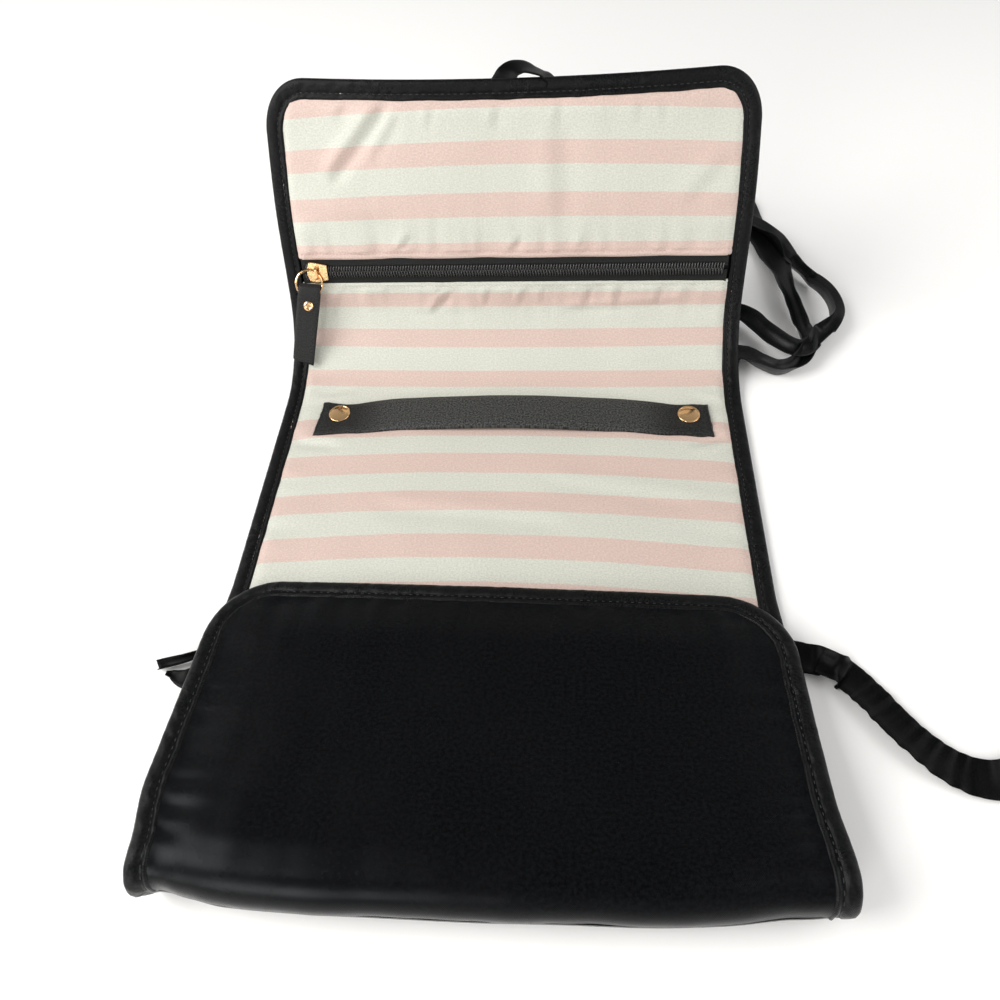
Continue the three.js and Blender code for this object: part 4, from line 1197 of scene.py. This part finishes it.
strap_satin, strap_tree, strap_shader, strap_cloth, strap_tint = cloth_finish(
    "strap satin", (0.075, 0.077, 0.075), (0.002, 0.0022, 0.0021), 0.5, 9000, 1.2, 0.5, 1300,
    specular_ior_level=0.2,
)
# Painted shade: the strap's colour is darkened from 62 mm out towards both ends, standing in for the satin's
# sheen falling away there.
strap_split = new_node(strap_tree, "SeparateXYZ", {0: strap_cloth})
strap_away = new_node(strap_tree, "Math", {0: strap_split[0]}, operation="ABSOLUTE")
strap_painted_shade = new_node(strap_tree, "MapRange", {
    "Value": strap_away[0], "From Min": 62 * mm, "From Max": 86 * mm, "To Min": 1, "To Max": 0.35,
}, interpolation_type="SMOOTHSTEP")
strap_with_painted_shade = new_node(
    strap_tree, "Mix", {"Factor": strap_painted_shade["Result"], "A": (0, 0, 0, 1), "B": strap_tint}, data_type="RGBA",
)
strap_tree.links.new(strap_with_painted_shade["Result"], strap_shader.inputs["Base Color"])
strap = cloth_piece(
    "snap_strap", strap_place, stretch(strap_run - strap_width, strap_run + strap_width, 0.7 * mm),
    lambda run: np.full(np.shape(run), strap_half), strap_top, strap_thickness, strap_satin, 0.9 * mm,
)
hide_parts("strap_band", "strap_anchor")
hinge_ends = [(strap_hinge[0] + off, *strap_hinge[1:]) for off in (-1 * mm, 1 * mm)]
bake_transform(strap)
end_runs = stretch(strap_run - strap_width + 0.4 * mm, strap_run + strap_width - 0.4 * mm, 1 * mm)
zeros = np.zeros(len(end_runs))
for side, sign in (("left", -1), ("right", 1)):
    end_path = np.stack([zeros + sign * strap_half, end_runs, zeros - sign, zeros], axis=1)
    end_stitches = stitch_row(
        "snap_strap_stitches_" + side, strap_place, end_path, 0.7 * mm, strap_top, thread_black, 1.6 * mm,
        (0.85 * mm, 0.42 * mm), slant=0.4,
    )
    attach(end_stitches, "strap" if side == "right" else "middle_section")

# Snap caps: domed gold caps with a narrow rolled rim, pressed into the strap over each snap. The
# socket under each cap closes on a stud that is fixed in the lining.
cap_profile = [
    (0, 0.62), (1.2, 0.6), (2.4, 0.55), (3.5, 0.46), (4.3, 0.34), (4.75, 0.22), (4.95, 0.2), (5.1, 0.3),
    (5.3, 0.4), (5.55, 0.36), (5.72, 0.16), (5.7, -0.1), (5.4, -0.3), (0, -0.3),
]
socket_profile = [(2.1, -0.4), (2.1, -1.75), (4.5, -1.75), (4.6, -1.55), (4.2, -1.3), (4.2, -0.4)]
stud_profile = [
    (0, -0.7), (1.3, -0.72), (1.85, -1.0), (1.85, -1.2), (1.45, -1.55), (1.6, -1.9), (4.3, -1.95),
    (4.5, -2.1), (4.3, -2.3), (0, -2.3),
]
cap_steps = 48


def turned(name, profile, middle, finish):
    """A piece turned about an upright axis; a profile that starts off the axis closes into a ring."""
    ring = profile[0][0] > 0
    rows = profile if ring else profile[1:-1]
    turns = np.arange(cap_steps) * 2 * math.pi / cap_steps
    points = [middle + np.array([r * math.cos(t), r * math.sin(t), h]) * mm for r, h in rows for t in turns]
    faces = []
    for row in range(len(rows) if ring else len(rows) - 1):
        below = (row + 1) % len(rows)
        for k in range(cap_steps):
            after = (k + 1) % cap_steps
            a, b = row * cap_steps + k, row * cap_steps + after
            faces.append((a, below * cap_steps + k, below * cap_steps + after, b))
    if not ring:
        top, bottom, last = len(points), len(points) + 1, (len(rows) - 1) * cap_steps
        points += [middle + np.array([0, 0, h]) * mm for h in (profile[0][1], profile[-1][1])]
        faces += [(top, k, (k + 1) % cap_steps) for k in range(cap_steps)]
        faces += [(bottom, last + (k + 1) % cap_steps, last + k) for k in range(cap_steps)]
    return new_mesh(name, points, faces, finish, np.zeros((len(points), 2)))


for side, sign in (("left", -1), ("right", 1)):
    middle = strap_place(sign * cap_spot, cap_run, strap_top(sign * cap_spot, cap_run) + 0.5 * mm)
    cap = turned("snap_cap_gold_" + side, cap_profile, middle, gold)
    socket = turned("snap_socket_gold_" + side, socket_profile, middle, gold)
    stud = turned("snap_stud_gold_" + side, stud_profile, middle, gold)
    for piece, node in ((cap, "snap_cap_"), (socket, "snap_socket_"), (stud, "snap_stud_")):
        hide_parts(node + side)
        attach(piece, "strap" if side == "right" and piece is not stud else "middle_section")

# Hanging loop: black ribbon sewn flat on the back of the top edge by both feet. It flops back over
# the edge and turns over once on its way round.
loop_line = [
    (-9, -10), (-6, -5), (-2.6, -0.5), (-0.2, 2.9), (3, 5.5), (7.6, 6.1), (12.6, 4.5), (17, 2.8), (20.6, 0.1),
    (22, -4), (22.4, -9),
]
loop_turns = [
    (0, 0), (0.23, 0.15), (0.32, 0.25), (0.41, 0.35), (0.5, 0.5), (0.6, 0.95), (0.7, 1.25), (0.8, 1.2),
    (0.9, 0.6), (1, 0),
]
loop_steps = 72
loop_width = 10.5 * mm
loop_upright = 2 * mm
loop_bend = 7.5 * mm
foot_height = -0.85 * mm


def loop_spot(x, high):
    """A point of the loop's own plane, which stands up past the edge and bends back over."""
    if high <= loop_upright:
        return flat_upper_roll(x, roll_end + high, foot_height)
    turn = (high - loop_upright) / loop_bend
    out = loop_upright + loop_bend * math.sin(turn)
    return flat_upper_roll(x, roll_end + out, foot_height - loop_bend * (1 - math.cos(turn)))


loop_plane = smooth_line(loop_line, loop_steps) * mm
loop_course = unit(np.gradient(loop_plane, axis=0)) * mm
loop_centres = np.array([loop_spot(x, high) for x, high in loop_plane])
loop_along = unit(np.gradient(loop_centres, axis=0))
inner = np.array([loop_spot(x + up, high - out) for (x, high), (out, up) in zip(loop_plane, loop_course)])
outer = np.array([loop_spot(x - up, high + out) for (x, high), (out, up) in zip(loop_plane, loop_course)])
in_plane = outer - inner
in_plane = unit(in_plane - loop_along * np.sum(in_plane * loop_along, axis=1)[:, None])
face = np.interp(np.linspace(0, 1, loop_steps), *zip(*loop_turns))[:, None]
wides = in_plane * np.cos(face) - np.cross(loop_along, in_plane) * np.sin(face)
hang_ribbon = ribbon_mesh(
    "hanging_loop_ribbon", loop_centres, wides, np.cross(wides, loop_along), loop_width, deep_ribbon,
)
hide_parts("hang_loop")
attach(hang_ribbon, "top_section")

# Light: a soft window high on the left, a weaker one behind the camera and a room that is brighter
# towards its walls than overhead, so that the satin stays dark where it faces up.
world = bpy.data.worlds.new("room")
world.use_nodes = True
looking = new_node(world.node_tree, "TexCoord", {})["Generated"]
split = new_node(world.node_tree, "SeparateXYZ", {0: looking})
room = new_node(world.node_tree, "MapRange", {
    "Value": split[2], "From Min": 0.15, "From Max": 0.95, "To Min": 0.78, "To Max": 0.36,
}, interpolation_type="SMOOTHSTEP")
background = world.node_tree.nodes["Background"]
background.inputs["Color"].default_value = (1, 0.99, 0.98, 1)
world.node_tree.links.new(room["Result"], background.inputs["Strength"])
bpy.context.scene.world = world
lamps_aim = Vector((0, 80 * mm, 0))
lamps = {
    "window": ((-0.95, -0.1, 0.84), 0.8, 16, (1, 0.985, 0.96)),
    "room_light": ((-0.5, -0.95, 0.5), 0.4, 4.2, (1, 0.98, 0.95)),
    "white_wall": ((1.05, -0.1, 0.7), 0.9, 6, (1, 0.99, 0.98)),
}
for name, (spot, size, power, colour) in lamps.items():
    lamp = bpy.data.lights.new(name, "AREA")
    lamp.size, lamp.energy, lamp.color = size, power, colour
    holder = bpy.data.objects.new(name, lamp)
    holder.location = spot
    holder.rotation_euler = (Vector(spot) - lamps_aim).to_track_quat("Z", "Y").to_euler()
    bpy.context.scene.collection.objects.link(holder)

low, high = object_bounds()
